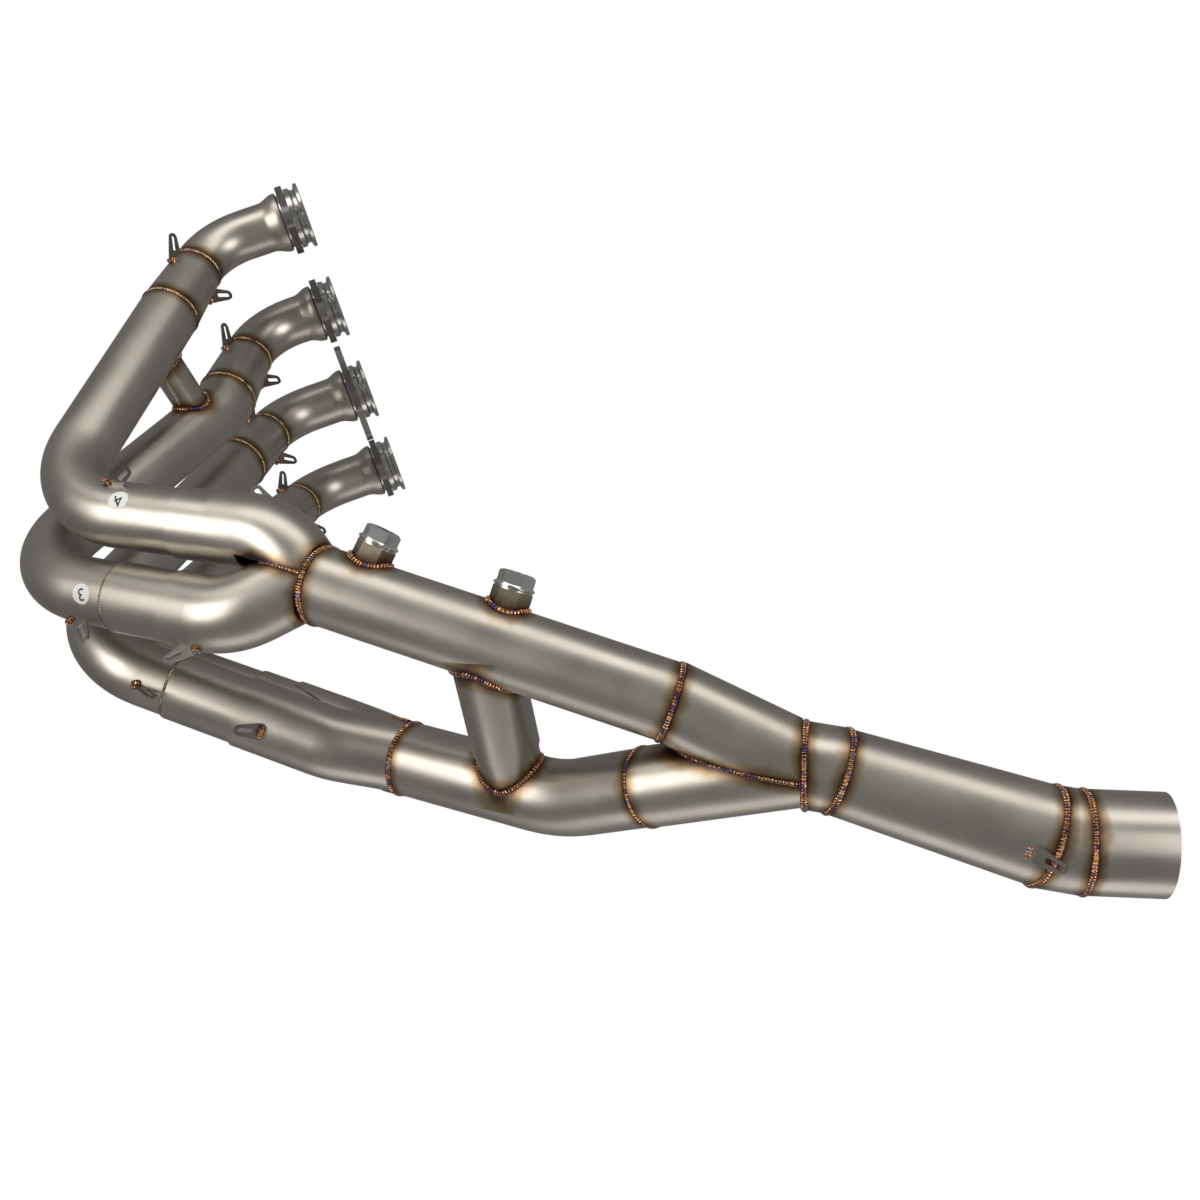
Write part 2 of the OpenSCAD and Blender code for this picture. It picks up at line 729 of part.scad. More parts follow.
// Hexagonal bung, coped to sit on secondary pipe 3-4
module bung(base, way) {
    color("tan") difference() {
        place(base, way, way_34) difference() {
            cylinder(d = bung_flats * hex_ratio, h = bung_top, $fn = 6);
            cylinder(d = bung_bore, h = bung_top + past);
        }
        rod(ring_34, end_34, secondary_diameter);
    }
}

// Plug with a flanged hexagon, hollow on top, and a plain shank for its thread
module plug(base, way) {
    seat = bung_top + washer_thickness;
    hex_start = seat + plug_flange_thickness;
    hex_top = hex_start + plug_hex_height;
    hex_corner = plug_flats * hex_ratio / 2;
    shank = washer_thickness + bung_height - 1;
    color("whitesmoke") place(base, way, way_34) difference() {
        union() {
            translate([0, 0, seat - shank])
                cylinder(d = bung_bore - 2 * thread_play, h = shank);
            translate([0, 0, seat]) rotate_extrude() polygon([
                [0, 0],
                [plug_flange_diameter / 2 - 0.5, 0],
                [plug_flange_diameter / 2, 0.6],
                [plug_flange_diameter / 2, plug_flange_thickness - 1],
                [plug_flange_diameter / 2 - 1.4, plug_flange_thickness],
                [0, plug_flange_thickness]
            ]);
            intersection() {
                translate([0, 0, hex_start]) cylinder(r = hex_corner, h = plug_hex_height, $fn = 6);
                translate([0, 0, hex_start]) rotate_extrude() polygon([
                    [0, 0],
                    [hex_corner + 1, 0],
                    [hex_corner + 1, plug_hex_height - 1.8],
                    [plug_flats / 2 - 0.6, plug_hex_height],
                    [0, plug_hex_height]
                ]);
            }
        }
        translate([0, 0, hex_top - 5]) cylinder(d = plug_flats - 9, h = 5 + past);
    }
}

// Sealing washers under both plugs
module plug_washers() {
    color("silver") for (seat = [[front_bung_base, front_bung_way], [rear_bung_base, bung_up]])
        place(seat[0] + seat[1] * bung_top, seat[1], way_34) difference() {
            cylinder(d = plug_flange_diameter - 2, h = washer_thickness);
            translate([0, 0, -past])
                cylinder(d = bung_bore + 0.4, h = washer_thickness + 2 * past);
        }
}

// Slotted spring tab. It stands at a radius about the point, on the side that outward names,
// and leans along way. A flat tab lies over the tube, others stand on edge. The children are
// what its foot is cut to.
module spring_tab(point, way, outward, radius, flat = false, lift = tab_lift) {
    out = square_to(outward, way);
    lean = unit(way * cos(lift) + out * sin(lift));
    edge = cross(way, out);
    foot = tab_width / 2;
    tip = tab_length - tab_tip_radius;
    slot_start = tab_length * slot_share;
    face = flat ? cross(lean, edge) : edge;
    difference() {
        place(point + out * radius, face, lean)
            translate([0, 0, -tab_thickness / 2]) linear_extrude(tab_thickness) difference() {
                polygon(concat(
                    [[-tab_root, foot], [0, foot]],
                    [for (a = [80:-20:-80]) [tip + tab_tip_radius * cos(a), tab_tip_radius * sin(a)]],
                    [[0, -foot], [-tab_root, -foot]]
                ));
                polygon(concat(
                    [[slot_start, tab_slot / 2]],
                    [for (a = [90:-30:-90]) [tip, 0] + [cos(a), sin(a)] * tab_slot / 2],
                    [[slot_start, -tab_slot / 2]]
                ));
            }
        children();
    }
}

// Two tabs on the tapered sleeve, which lean towards the head pipe
module head_tabs(i) {
    distance = (tab_width + bead_width) / 2 + head_tab_gap;
    way = -drop_way(i);
    taper = (primary_diameter - head_diameter) / 2 / sleeve_length;
    point = head_end(i) + drop_way(i) * distance;
    color("dimgray") for (outward = [[-0.34, -0.96, -0.4], [0.55, 0.83, 0.1]])
        spring_tab(point, way, outward, head_diameter / 2 + taper * distance)
            place(head_end(i), drop_way(i), [0, 1, 0])
                cylinder(d1 = head_diameter, d2 = primary_diameter, h = sleeve_length);
}

// Two tabs across the slip joint, which lean towards each other
module slip_tabs(i) {
    way = run_way(i);
    outward = [[0, 1, -0.6], [0, -0.7, -0.75], [0.3, 0.16, -0.93], [0, -0.92, 0.36]][i - 1];
    leg_outward = i == 4 ? up : outward;
    run_place = [run_tab_place, run_tab_place, run_tab_place_3, run_tab_place_4][i - 1];
    color("dimgray") {
        spring_tab(slip_start(i) - way * run_place, way, outward, primary_diameter / 2)
            bent_rod(primary_route(i), primary_radii(i), primary_diameter);
        spring_tab(socket_edge(i) + way * leg_tab_place, -way, leg_outward, leg_diameter / 2, i == 2)
            rod(socket_edge(i), fork_corner(i), leg_diameter);
    }
}

// Tab that holds the silencer spring
module outlet_tab() {
    radius = cone_end_diameter / 2 - cone_rise * outlet_tab_place;
    color("dimgray")
        spring_tab(cone_end - cone_way * outlet_tab_place, cone_way, [0, -0.59, -0.81], radius, true,
            outlet_tab_lift) cone_rod(0);
}

// Ring of weld about a point on a tube, from one place along it to another. Its crowned top
// springs from the two radii, and its inner face follows the tubes that it joins.
module ring_bead(point, way, from, to, start_radius, end_radius, seat = []) {
    steps = 8;
    place(point, way, any_side(way)) rotate_extrude() polygon(concat(
        seat,
        [for (k = [0:steps]) [
            between(start_radius, end_radius, k / steps) + bead_height * sin(180 * k / steps),
            between(from, to, k / steps)
        ]]));
}

// Weld rings at both ends of the tapered sleeves
module head_beads() {
    half = bead_width / 2;
    taper = (primary_diameter - head_diameter) / 2 / sleeve_length * half;
    color("goldenrod") for (i = [1:4]) {
        ring_bead(head_end(i), drop_way(i), -half, half, head_diameter / 2,
            head_diameter / 2 + taper, [[head_diameter / 2, 0]]);
        ring_bead(sleeve_end(i), drop_way(i), -half, half, primary_diameter / 2 - taper,
            primary_diameter / 2, [[primary_diameter / 2, 0]]);
    }
}

// Weld rings in the steps where the slip sleeves of pipes 1 to 3 start
module slip_beads() {
    color("goldenrod") for (i = [1:3])
        ring_bead(slip_start(i), run_way(i), -bead_width / 2, 0, primary_diameter / 2,
            sleeve_diameter / 2, [[primary_diameter / 2, 0]]);
}

// Weld band on a straight tube, from a cut through a point
module band_bead(point, cut, way, diameter) {
    mitred_tube(point, cut, point + way * bead_width, cut, way, diameter + 2 * bead_height, bead_height);
}

// Weld rings where the forks become the secondary pipes
module fork_beads() {
    radius = secondary_diameter / 2;
    color("goldenrod") {
        band_bead(ring_34, cut_34, way_34, secondary_diameter);
        ring_bead(ring_12, way_12, 0, bead_width, radius + bead_height / 2, radius, [[radius, 0]]);
    }
}

// Weld rings from the collector legs to the outlet
module collector_beads() {
    leg_radius = collector_leg_diameter / 2;
    color("goldenrod") {
        band_bead(end_34 - way_34 * bead_width, leg_cut_34, way_34, secondary_diameter);
        ring_bead(end_12, leg_cut_12, -bead_width, 0, secondary_diameter / 2, leg_radius,
            [[secondary_diameter / 2, 0]]);
        band_bead(meet, meet_way, collar_way, collar_tube_diameter);
        for (start = [cone_start, cone_end - cone_way * bead_width]) difference() {
            cone_rod(bead_height);
            cone_rod(0);
            ahead_of(start, -cone_cut);
            ahead_of(start + cone_way * bead_width, cone_cut);
        }
        ring_bead(outlet_start, outlet_way, 0, bead_width, outlet_diameter / 2, outlet_diameter / 2);
    }
}

for (i = [1:4]) {
    port_spigot(i);
    head_flange(i);
    head_pipe(i);
    tapered_sleeve(i);
    primary_pipe(i);
    slip_sleeve(i);
    fork_leg(i);
    head_tabs(i);
    slip_tabs(i);
}
secondary_pipe_34();
secondary_pipe_12();
collector_leg(end_34, leg_cut_34, leg_34_way, legs_apart);  // collector_leg_34
collector_leg(end_12, leg_cut_12, leg_12_way, -legs_apart);  // collector_leg_12
collector_collar();
collector_cone();
outlet_wedge();
outlet_sleeve();
small_crossover(3);  // crossover_34
small_crossover(1);  // crossover_12
main_crossover();
crossover_stub();
bung(front_bung_base, front_bung_way);  // front_bung
bung(rear_bung_base, bung_up);  // rear_bung
plug(front_bung_base, front_bung_way);  // front_plug
plug(rear_bung_base, bung_up);  // rear_plug
plug_washers();
outlet_tab();
head_beads();
slip_beads();
fork_beads();
collector_beads();
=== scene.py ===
"""Looks of a bare-metal motorcycle exhaust header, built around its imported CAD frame.

The construction pieces of the frame stay as they are and only take finishes here. This script adds the
rippled weld beads, the tack welds of the spring tabs and the numbered labels, and sets up the studio and the
camera.
"""

import json
import logging
import math
from dataclasses import dataclass, field
from enum import Enum

import bpy
import numpy as np
from mathutils import Matrix, Vector
from mathutils.bvhtree import BVHTree

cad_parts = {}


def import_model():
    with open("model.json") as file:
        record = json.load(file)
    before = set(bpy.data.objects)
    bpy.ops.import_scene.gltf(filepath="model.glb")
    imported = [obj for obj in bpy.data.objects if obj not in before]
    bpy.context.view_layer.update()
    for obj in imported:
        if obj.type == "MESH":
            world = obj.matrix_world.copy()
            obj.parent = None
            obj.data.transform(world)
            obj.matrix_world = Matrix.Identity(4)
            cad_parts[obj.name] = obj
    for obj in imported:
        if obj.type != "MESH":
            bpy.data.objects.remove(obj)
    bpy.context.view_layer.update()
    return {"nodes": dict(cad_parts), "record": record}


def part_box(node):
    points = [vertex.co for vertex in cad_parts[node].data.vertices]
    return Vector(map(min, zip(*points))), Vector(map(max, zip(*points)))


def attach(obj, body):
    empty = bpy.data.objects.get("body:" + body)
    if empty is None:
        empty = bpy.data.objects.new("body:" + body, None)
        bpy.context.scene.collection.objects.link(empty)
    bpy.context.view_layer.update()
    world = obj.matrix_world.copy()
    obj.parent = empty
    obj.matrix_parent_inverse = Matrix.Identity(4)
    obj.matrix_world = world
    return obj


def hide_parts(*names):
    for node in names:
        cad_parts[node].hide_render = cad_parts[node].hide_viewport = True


LOG = logging.getLogger("exhaust_header")
MM = 0.001

# Points nearer than the first value are one point, and points in metres are rounded to the second. A weld
# ring's crown stands the third off its tube.
SAME_POINT = 0.002 * MM
POINT_DIGITS = 6
CROWN = 1.0 * MM

# Beyond this height along a branch, a point of the main tube is on its far side and stays cool.
FAR_SIDE = -20 * MM

Color = tuple[float, float, float]
Stops = tuple[tuple[float, Color], ...]


class Slot(str, Enum):
    """Material slots of the record."""

    TUBE = "titanium_tube"
    SLEEVE = "titanium_sleeve"
    SPIGOT = "machined_spigot"
    FLANGE = "flange_plate"
    OUTLET = "outlet_metal"
    BUNG = "bung_metal"
    PLUG = "plug_chrome"
    WASHER = "washer_metal"
    TAB = "tab_plate"
    BEAD = "weld_bead"


class Tone(Enum):
    """How a weld looks."""

    GOLD = "gold"
    MIXED = "mixed"
    FAINT = "faint"


@dataclass(frozen=True)
class Finish:
    """Surface values of one bare or coated metal."""

    color: Color
    roughness: float
    metallic: float = 1.0
    grain: float = 0.25
    mottle: float = 0.12


FINISHES: dict[Slot, Finish] = {
    Slot.TUBE: Finish((0.47, 0.440, 0.395), 0.38),
    Slot.SLEEVE: Finish((0.49, 0.458, 0.412), 0.36),
    Slot.SPIGOT: Finish((0.60, 0.59, 0.57), 0.24, grain=0.1),
    Slot.FLANGE: Finish((0.20, 0.195, 0.185), 0.42, metallic=0.9, grain=0.5, mottle=0.3),
    Slot.OUTLET: Finish((0.52, 0.488, 0.445), 0.34),
    Slot.BUNG: Finish((0.50, 0.43, 0.34), 0.26, grain=0.1),
    Slot.PLUG: Finish((0.86, 0.86, 0.85), 0.17, grain=0.05, mottle=0.03),
    Slot.WASHER: Finish((0.62, 0.61, 0.58), 0.25, grain=0.1),
    Slot.TAB: Finish((0.27, 0.25, 0.23), 0.30, grain=0.3),
}

@dataclass(frozen=True)
class BeadLook:
    """Colours and ripples of one kind of weld."""

    stops: Stops
    radius: float
    sunk: float
    pitch: float
    relief: float
    patches: float
    roughness: float = 0.26


BEAD_LOOKS: dict[Tone, BeadLook] = {
    Tone.GOLD: BeadLook((
        (0.33, (0.05, 0.055, 0.11)),
        (0.42, (0.17, 0.085, 0.06)),
        (0.47, (0.56, 0.36, 0.14)),
        (0.55, (0.80, 0.62, 0.33)),
        (0.63, (0.42, 0.22, 0.09)),
        (0.72, (0.18, 0.20, 0.32)),
    ), 1.9 * MM, 1.25 * MM, 1.7 * MM, 0.22 * MM, 110.0),
    Tone.MIXED: BeadLook((
        (0.32, (0.07, 0.09, 0.22)),
        (0.41, (0.13, 0.045, 0.09)),
        (0.47, (0.52, 0.21, 0.06)),
        (0.54, (0.76, 0.47, 0.20)),
        (0.61, (0.28, 0.08, 0.04)),
        (0.70, (0.22, 0.26, 0.42)),
    ), 2.2 * MM, 1.2 * MM, 2.1 * MM, 0.45 * MM, 150.0),
    Tone.FAINT: BeadLook((
        (0.30, (0.16, 0.115, 0.07)),
        (0.45, (0.30, 0.23, 0.15)),
        (0.52, (0.44, 0.36, 0.25)),
        (0.70, (0.30, 0.22, 0.14)),
    ), 1.7 * MM, 1.15 * MM, 1.7 * MM, 0.15 * MM, 90.0, 0.34),
}

HEATED = (Slot.TUBE, Slot.SLEEVE, Slot.OUTLET, Slot.BUNG)


@dataclass(frozen=True)
class Studio:
    """Camera, ambient light and floor. The camera looks up at the header from below its outer side.

    The floor glows for the camera only, so it looks pale and still leaves the metal's reflections dark.
    """

    eye: tuple[float, float, float] = (0.674, -0.887, -0.896)
    right: tuple[float, float, float] = (0.9353, 0.1597, 0.3158)
    down: tuple[float, float, float] = (0.1467, 0.6371, -0.7567)
    lens: float = 50.0
    sensor: float = 36.0
    middle: tuple[float, float, float] = (0.30, -0.05, -0.25)
    floor_drop: float = 3.6
    floor_size: float = 60.0
    floor_grey: float = 0.8
    floor_glow: float = 0.55
    floor_roughness: float = 0.9
    ambient: float = 0.20


@dataclass(frozen=True)
class Softbox:
    """One area light, placed in the camera's own directions from the middle of the header."""

    name: str
    across: float
    up: float
    toward: float
    width: float
    height: float
    power: float
    tint: Color = (1.0, 1.0, 1.0)


SOFTBOXES = (
    Softbox("top", -0.1, 1.60, 0.85, 3.0, 0.9, 18.5, (1.0, 0.98, 0.94)),
    Softbox("left", -1.50, 0.2, 1.40, 1.0, 1.4, 20.0, (1.0, 0.975, 0.93)),
    Softbox("low", 0.2, -1.6, -0.1, 2.6, 0.8, 7.0, (1.0, 0.975, 0.94)),
    Softbox("right", 1.35, 0.1, 1.35, 1.0, 1.2, 16.0, (1.0, 0.975, 0.93)),
)


@dataclass(frozen=True)
class Ring:
    """A round weld line: its centre, the way that its plane faces and its two half widths."""

    centre: Vector
    axis: Vector
    wide_way: Vector
    wide: float
    narrow: float
    tone: Tone


@dataclass(frozen=True)
class Saddle:
    """The line where the side of one tube meets the side of another."""

    points: list[Vector]
    branch_point: Vector
    branch_way: Vector
    branch_radius: float
    main_point: Vector
    main_way: Vector
    main_radius: float


@dataclass(frozen=True)
class Seam:
    """A weld line in a plane, open at its ends."""

    points: list[Vector]
    plane_point: Vector
    plane_way: Vector
    reach: float


@dataclass
class Welds:
    """Every weld line of the header."""

    rings: list[Ring] = field(default_factory=list)
    saddles: list[Saddle] = field(default_factory=list)
    seams: list[Seam] = field(default_factory=list)


def islands(node: bpy.types.Object) -> list[np.ndarray]:
    """Splits a node's points into its separate solids.

    Args:
        node: A mesh object whose place is in its vertices.

    Returns:
        One array of points for each solid, in metres.
    """
    mesh = node.data
    points = np.array([tuple(v.co) for v in mesh.vertices])
    _, same = np.unique(np.round(points / SAME_POINT).astype(np.int64), axis=0, return_inverse=True)
    same = same.reshape(-1)
    parent = list(range(int(same.max()) + 1))

    def top(k: int) -> int:
        """First point of the solid that a point belongs to.

        Args:
            k: Number of the point.

        Returns:
            Number of that first point.
        """
        while parent[k] != k:
            parent[k] = parent[parent[k]]
            k = parent[k]
        return k

    for edge in mesh.edges:
        a, b = (top(int(same[v])) for v in edge.vertices)
        parent[a] = b
    labels = np.array([top(int(k)) for k in same])
    return [points[labels == k] for k in sorted(set(labels.tolist()))]


def principal(points: np.ndarray) -> tuple[np.ndarray, np.ndarray, np.ndarray]:
    """Middle, main directions and spreads of some points, from the least spread to the most.

    Args:
        points: An array of points.

    Returns:
        The middle, the three spreads and the three directions as columns.
    """
    unique = np.unique(np.round(points, POINT_DIGITS), axis=0)
    middle = unique.mean(axis=0)
    spreads, ways = np.linalg.eigh(np.cov((unique - middle).T))
    return middle, spreads, ways


def ring_of(points: np.ndarray, tone: Tone) -> Ring:
    """Reads a weld ring's place and size from its solid.

    Args:
        points: Points of one ring solid.
        tone: How the weld looks.

    Returns:
        The ring's line, on the surface of the tube.
    """
    middle, _, ways = principal(points)
    shifted = points - middle
    axis, narrow_way, wide_way = ways[:, 0], ways[:, 1], ways[:, 2]
    wide = float(np.abs(shifted @ wide_way).max()) - CROWN
    narrow = float(np.abs(shifted @ narrow_way).max()) - CROWN
    return Ring(Vector(middle), Vector(axis), Vector(wide_way), wide, narrow, tone)


def tube_line(node: bpy.types.Object) -> tuple[Vector, Vector]:
    """Middle and direction of a straight tube.

    Args:
        node: The tube.

    Returns:
        A point on its axis, and the way that the axis runs.
    """
    faces = node.data.polygons
    normals = np.array([tuple(f.normal) for f in faces]) * np.sqrt([f.area for f in faces])[:, None]
    _, ways = np.linalg.eigh(normals.T @ normals)
    placed = np.array([tuple(v.co) for v in node.data.vertices]) @ ways
    middle = ways @ ((placed.max(axis=0) + placed.min(axis=0)) / 2)
    return Vector(middle), Vector(ways[:, 0]).normalized()


def radius_about(node: bpy.types.Object, point: Vector, way: Vector) -> float:
    """Largest distance of a node's points from a line.

    Args:
        node: The node.
        point: A point on the line.
        way: The unit direction of the line.

    Returns:
        The distance in metres.
    """
    return max((v.co - point - way * (v.co - point).dot(way)).length for v in node.data.vertices)


def tree_of(node: bpy.types.Object) -> BVHTree:
    """Search tree of a node's faces.

    Args:
        node: A mesh object at the origin.

    Returns:
        The tree.
    """
    return BVHTree.FromPolygons([v.co for v in node.data.vertices], [p.vertices for p in node.data.polygons])


class Header:
    """The frame's nodes and the weld lines that are worked out from them."""

    CROSSOVERS = {
        "crossover_34": ("primary_pipe_3", "primary_pipe_4"),
        "crossover_12": ("primary_pipe_1", "primary_pipe_2"),
    }
    BUNGS = ("front_bung", "rear_bung")
    PAIRS = (
        ("fork_leg_4", "fork_leg_3"),
        ("fork_leg_2", "fork_leg_1"),
        ("collector_leg_34", "collector_leg_12"),
    )
    BEADS = {
        "head_beads": Tone.GOLD,
        "slip_beads": Tone.FAINT,
        "fork_beads": Tone.MIXED,
        "collector_beads": Tone.MIXED,
    }
    TUBE_RADII = {"primary": 22.25 * MM, "secondary": 25.4 * MM}
    STEPS = 96
    REACH = 0.15
    LEAST_HITS = 0.9
    SEAM_CLOSE = 0.12 * MM
    SEAM_BINS = 90

    def __init__(self, nodes: dict[str, bpy.types.Object]) -> None:
        """Reads every weld line.

        Args:
            nodes: CAD nodes by name.
        """
        self.nodes = nodes
        self.welds = Welds()
        for name, tone in self.BEADS.items():
            self.welds.rings += [ring_of(points, tone) for points in islands(nodes[name])]
        self.welds.saddles = self._crossover_saddles() + self._bung_saddles()
        self.welds.seams = [self._seam(nodes[a], nodes[b]) for a, b in self.PAIRS]
        LOG.info("welds: %d rings, %d saddles, %d seams", len(self.welds.rings),
                 len(self.welds.saddles), len(self.welds.seams))

    def _saddle(self, branch: str, point: Vector, way: Vector, main: str) -> Saddle | None:
        """Line where a branch meets the tube that it stands on, found by rays along the branch's outside.

        Args:
            branch: Node of the branch.
            point: A point on the branch's axis.
            way: Direction of the rays, along that axis.
            main: Node of the tube that the branch stands on.

        Returns:
            The saddle line, or None where the rays miss that tube.
        """
        tree = tree_of(self.nodes[main])
        radius = radius_about(self.nodes[branch], point, way)
        side = way.orthogonal().normalized()
        hits, normals = [], []
        for step in range(self.STEPS):
            turn = Matrix.Rotation(step * math.tau / self.STEPS, 3, way)
            hit, normal, _, _ = tree.ray_cast(point + turn @ side * radius, way, self.REACH)
            if hit is not None:
                hits.append(hit)
                normals.append(normal)
        if len(hits) < self.STEPS * self.LEAST_HITS:
            return None
        rows = np.array([tuple(normal) for normal in normals])
        _, ways = np.linalg.eigh(rows.T @ rows)
        main_way = Vector(ways[:, 0]).normalized()
        main_radius = self.TUBE_RADII[main.split("_")[0]]
        inner = [hit - normal * main_radius for hit, normal in zip(hits, normals)]
        main_point = sum(inner, Vector()) / len(hits)
        foot = point + way * sum((hit - point).dot(way) for hit in hits) / len(hits)
        return Saddle(hits, foot, -way, radius, main_point, main_way, main_radius)

    def _crossover_saddles(self) -> list[Saddle]:
        """Finds the saddles at both ends of every crossover.

        Returns:
            The saddle lines.
        """
        jobs = [(name, main) for name, mains in self.CROSSOVERS.items() for main in mains]
        jobs += [("main_crossover", "secondary_pipe_34"), ("crossover_stub", "secondary_pipe_12")]
        found = []
        for name, main in jobs:
            point, way = tube_line(self.nodes[name])
            options = [self._saddle(name, point, side, main) for side in (way, -way)]
            options = [option for option in options if option]
            found += sorted(options, key=lambda saddle: (saddle.points[0] - point).length)[:1]
        return found

    def _bung_saddles(self) -> list[Saddle]:
        """Finds the saddles under both sensor bungs.

        Returns:
            The saddle lines.
        """
        found = []
        for name in self.BUNGS:
            middle, plug_middle = (Vector(principal(np.concatenate(islands(self.nodes[node])))[0])
                                   for node in (name, name.replace("bung", "plug")))
            way = (middle - plug_middle).normalized()
            found.append(self._saddle(name, plug_middle, way, "secondary_pipe_34"))
        return [saddle for saddle in found if saddle]

    @staticmethod
    def _seam(first: bpy.types.Object, second: bpy.types.Object) -> Seam:
        """Outer line where two cut tubes meet on one plane.

        Args:
            first: A tube.
            second: Its partner.

        Returns:
            The seam, with its points in order.
        """
        tree = tree_of(second)
        met = []
        for vertex in first.data.vertices:
            _, _, _, gap = tree.find_nearest(vertex.co)
            if gap is not None and gap < Header.SEAM_CLOSE:
                met.append(tuple(vertex.co))
        points = np.unique(np.round(np.array(met), POINT_DIGITS), axis=0)
        middle, _, ways = principal(points)
        flat = (points - middle) @ ways[:, 1:]
        angle = np.arctan2(flat[:, 1], flat[:, 0])
        reach = np.hypot(flat[:, 0], flat[:, 1])
        place = np.floor((angle + math.pi) / math.tau * Header.SEAM_BINS).astype(int) % Header.SEAM_BINS
        held = [np.flatnonzero(place == k) for k in range(Header.SEAM_BINS)]
        outer = [int(found[reach[found].argmax()]) for found in held if len(found)]
        outer.sort(key=lambda k: angle[k])
        following = outer[1:] + outer[:1]
        turns = [(angle[b] - angle[a]) % math.tau for a, b in zip(outer, following)]
        start = int(np.argmax(turns)) + 1
        order = outer[start:] + outer[:start]
        reach = float(np.linalg.norm(points - middle, axis=1).max())
        line = [Vector(points[k]) for k in order]
        return Seam(line, Vector(middle), Vector(ways[:, 0]).normalized(), reach)


class Shader:
    """Small helper that lays out a node tree."""

    def __init__(self, tree: bpy.types.NodeTree) -> None:
        """Starts on a node tree.

        Args:
            tree: The tree to fill.
        """
        self.tree = tree

    def add(self, kind: str, **settings: object) -> bpy.types.Node:
        """Adds a node.

        Args:
            kind: The node's type name.
            settings: Properties to set on it.

        Returns:
            The new node.
        """
        made = self.tree.nodes.new(kind)
        for key, value in settings.items():
            setattr(made, key, value)
        return made

    def link(self, source: bpy.types.NodeSocket, target: bpy.types.NodeSocket) -> None:
        """Joins two sockets.

        Args:
            source: Where the value comes from.
            target: Where it goes.
        """
        self.tree.links.new(source, target)

    def math(self, operation: str, a: object, b: object = None) -> bpy.types.NodeSocket:
        """Adds a math node.

        Args:
            operation: Its operation.
            a: First socket or number.
            b: Second socket or number.

        Returns:
            The result's socket.
        """
        made = self.add("ShaderNodeMath", operation=operation)
        self._feed(made.inputs[0], a)
        if b is not None:
            self._feed(made.inputs[1], b)
        return made.outputs[0]

    def vector(self, operation: str, a: object, b: object = None, scale: object = None) -> bpy.types.Node:
        """Adds a vector math node.

        Args:
            operation: Its operation.
            a: First socket or vector.
            b: Second socket or vector.
            scale: Socket or number for the SCALE operation.

        Returns:
            The node.
        """
        made = self.add("ShaderNodeVectorMath", operation=operation)
        self._feed(made.inputs[0], a)
        if b is not None:
            self._feed(made.inputs[1], b)
        if scale is not None:
            self._feed(made.inputs[3], scale)
        return made

    def noise(self, place: bpy.types.NodeSocket, scale: float, detail: float = 2.0) -> bpy.types.NodeSocket:
        """Adds a noise texture.

        Args:
            place: Where the noise is read.
            scale: Its scale.
            detail: Its number of finer layers.

        Returns:
            The noise's value.
        """
        made = self.add("ShaderNodeTexNoise")
        made.inputs["Scale"].default_value = scale
        made.inputs["Detail"].default_value = detail
        self.link(place, made.inputs["Vector"])
        return made.outputs[0]

    def _feed(self, target: bpy.types.NodeSocket, value: object) -> None:
        """Links a socket or stores a constant.

        Args:
            target: Where the value goes.
            value: A socket, a number or a vector.
        """
        if isinstance(value, bpy.types.NodeSocket):
            self.link(value, target)
        else:
            target.default_value = value


Sockets = dict[str, bpy.types.NodeSocket]


def line_distance(shader: Shader, place: bpy.types.NodeSocket, point: bpy.types.NodeSocket,
                  way: bpy.types.NodeSocket) -> tuple[bpy.types.NodeSocket, bpy.types.NodeSocket]:
    """Distances of the shaded point along and away from a line.

    Args:
        shader: The tree to add to.
        place: The shaded point.
        point: A point on the line.
        way: The line's direction.

    Returns:
        The distance along the line and the distance from it.
    """
    offset = shader.vector("SUBTRACT", place, point).outputs[0]
    along = shader.vector("DOT_PRODUCT", offset, way).outputs[1]
    foot = shader.vector("SCALE", way, scale=along).outputs[0]
    away = shader.vector("LENGTH", shader.vector("SUBTRACT", offset, foot).outputs[0]).outputs[1]
    return along, away


def new_group(name: str, inputs: dict[str, str]) -> tuple[bpy.types.NodeTree, Shader, Sockets]:
    """Starts a shader group with one float output named Distance.

    Args:
        name: Name of the group.
        inputs: Socket types by input name.

    Returns:
        The group, a helper on it and its inputs by name.
    """
    group = bpy.data.node_groups.new(name, "ShaderNodeTree")
    for label, kind in inputs.items():
        group.interface.new_socket(label, in_out="INPUT", socket_type=kind)
    group.interface.new_socket("Distance", in_out="OUTPUT", socket_type="NodeSocketFloat")
    shader = Shader(group)
    entry = shader.add("NodeGroupInput")
    return group, shader, {label: entry.outputs[label] for label in inputs}


def ring_group() -> bpy.types.NodeTree:
    """Group that gives the distance to a round weld line.

    Returns:
        The group.
    """
    group, shader, given = new_group("Distance to ring", {
        "Centre": "NodeSocketVector", "Way": "NodeSocketVector", "Radius": "NodeSocketFloat"})
    place = shader.add("ShaderNodeTexCoord").outputs["Object"]
    along, away = line_distance(shader, place, given["Centre"], given["Way"])
    radial = shader.math("SUBTRACT", away, given["Radius"])
    total = shader.math("ADD", shader.math("MULTIPLY", along, along), shader.math("MULTIPLY", radial, radial))
    shader.link(shader.math("SQRT", total), shader.add("NodeGroupOutput").inputs["Distance"])
    return group


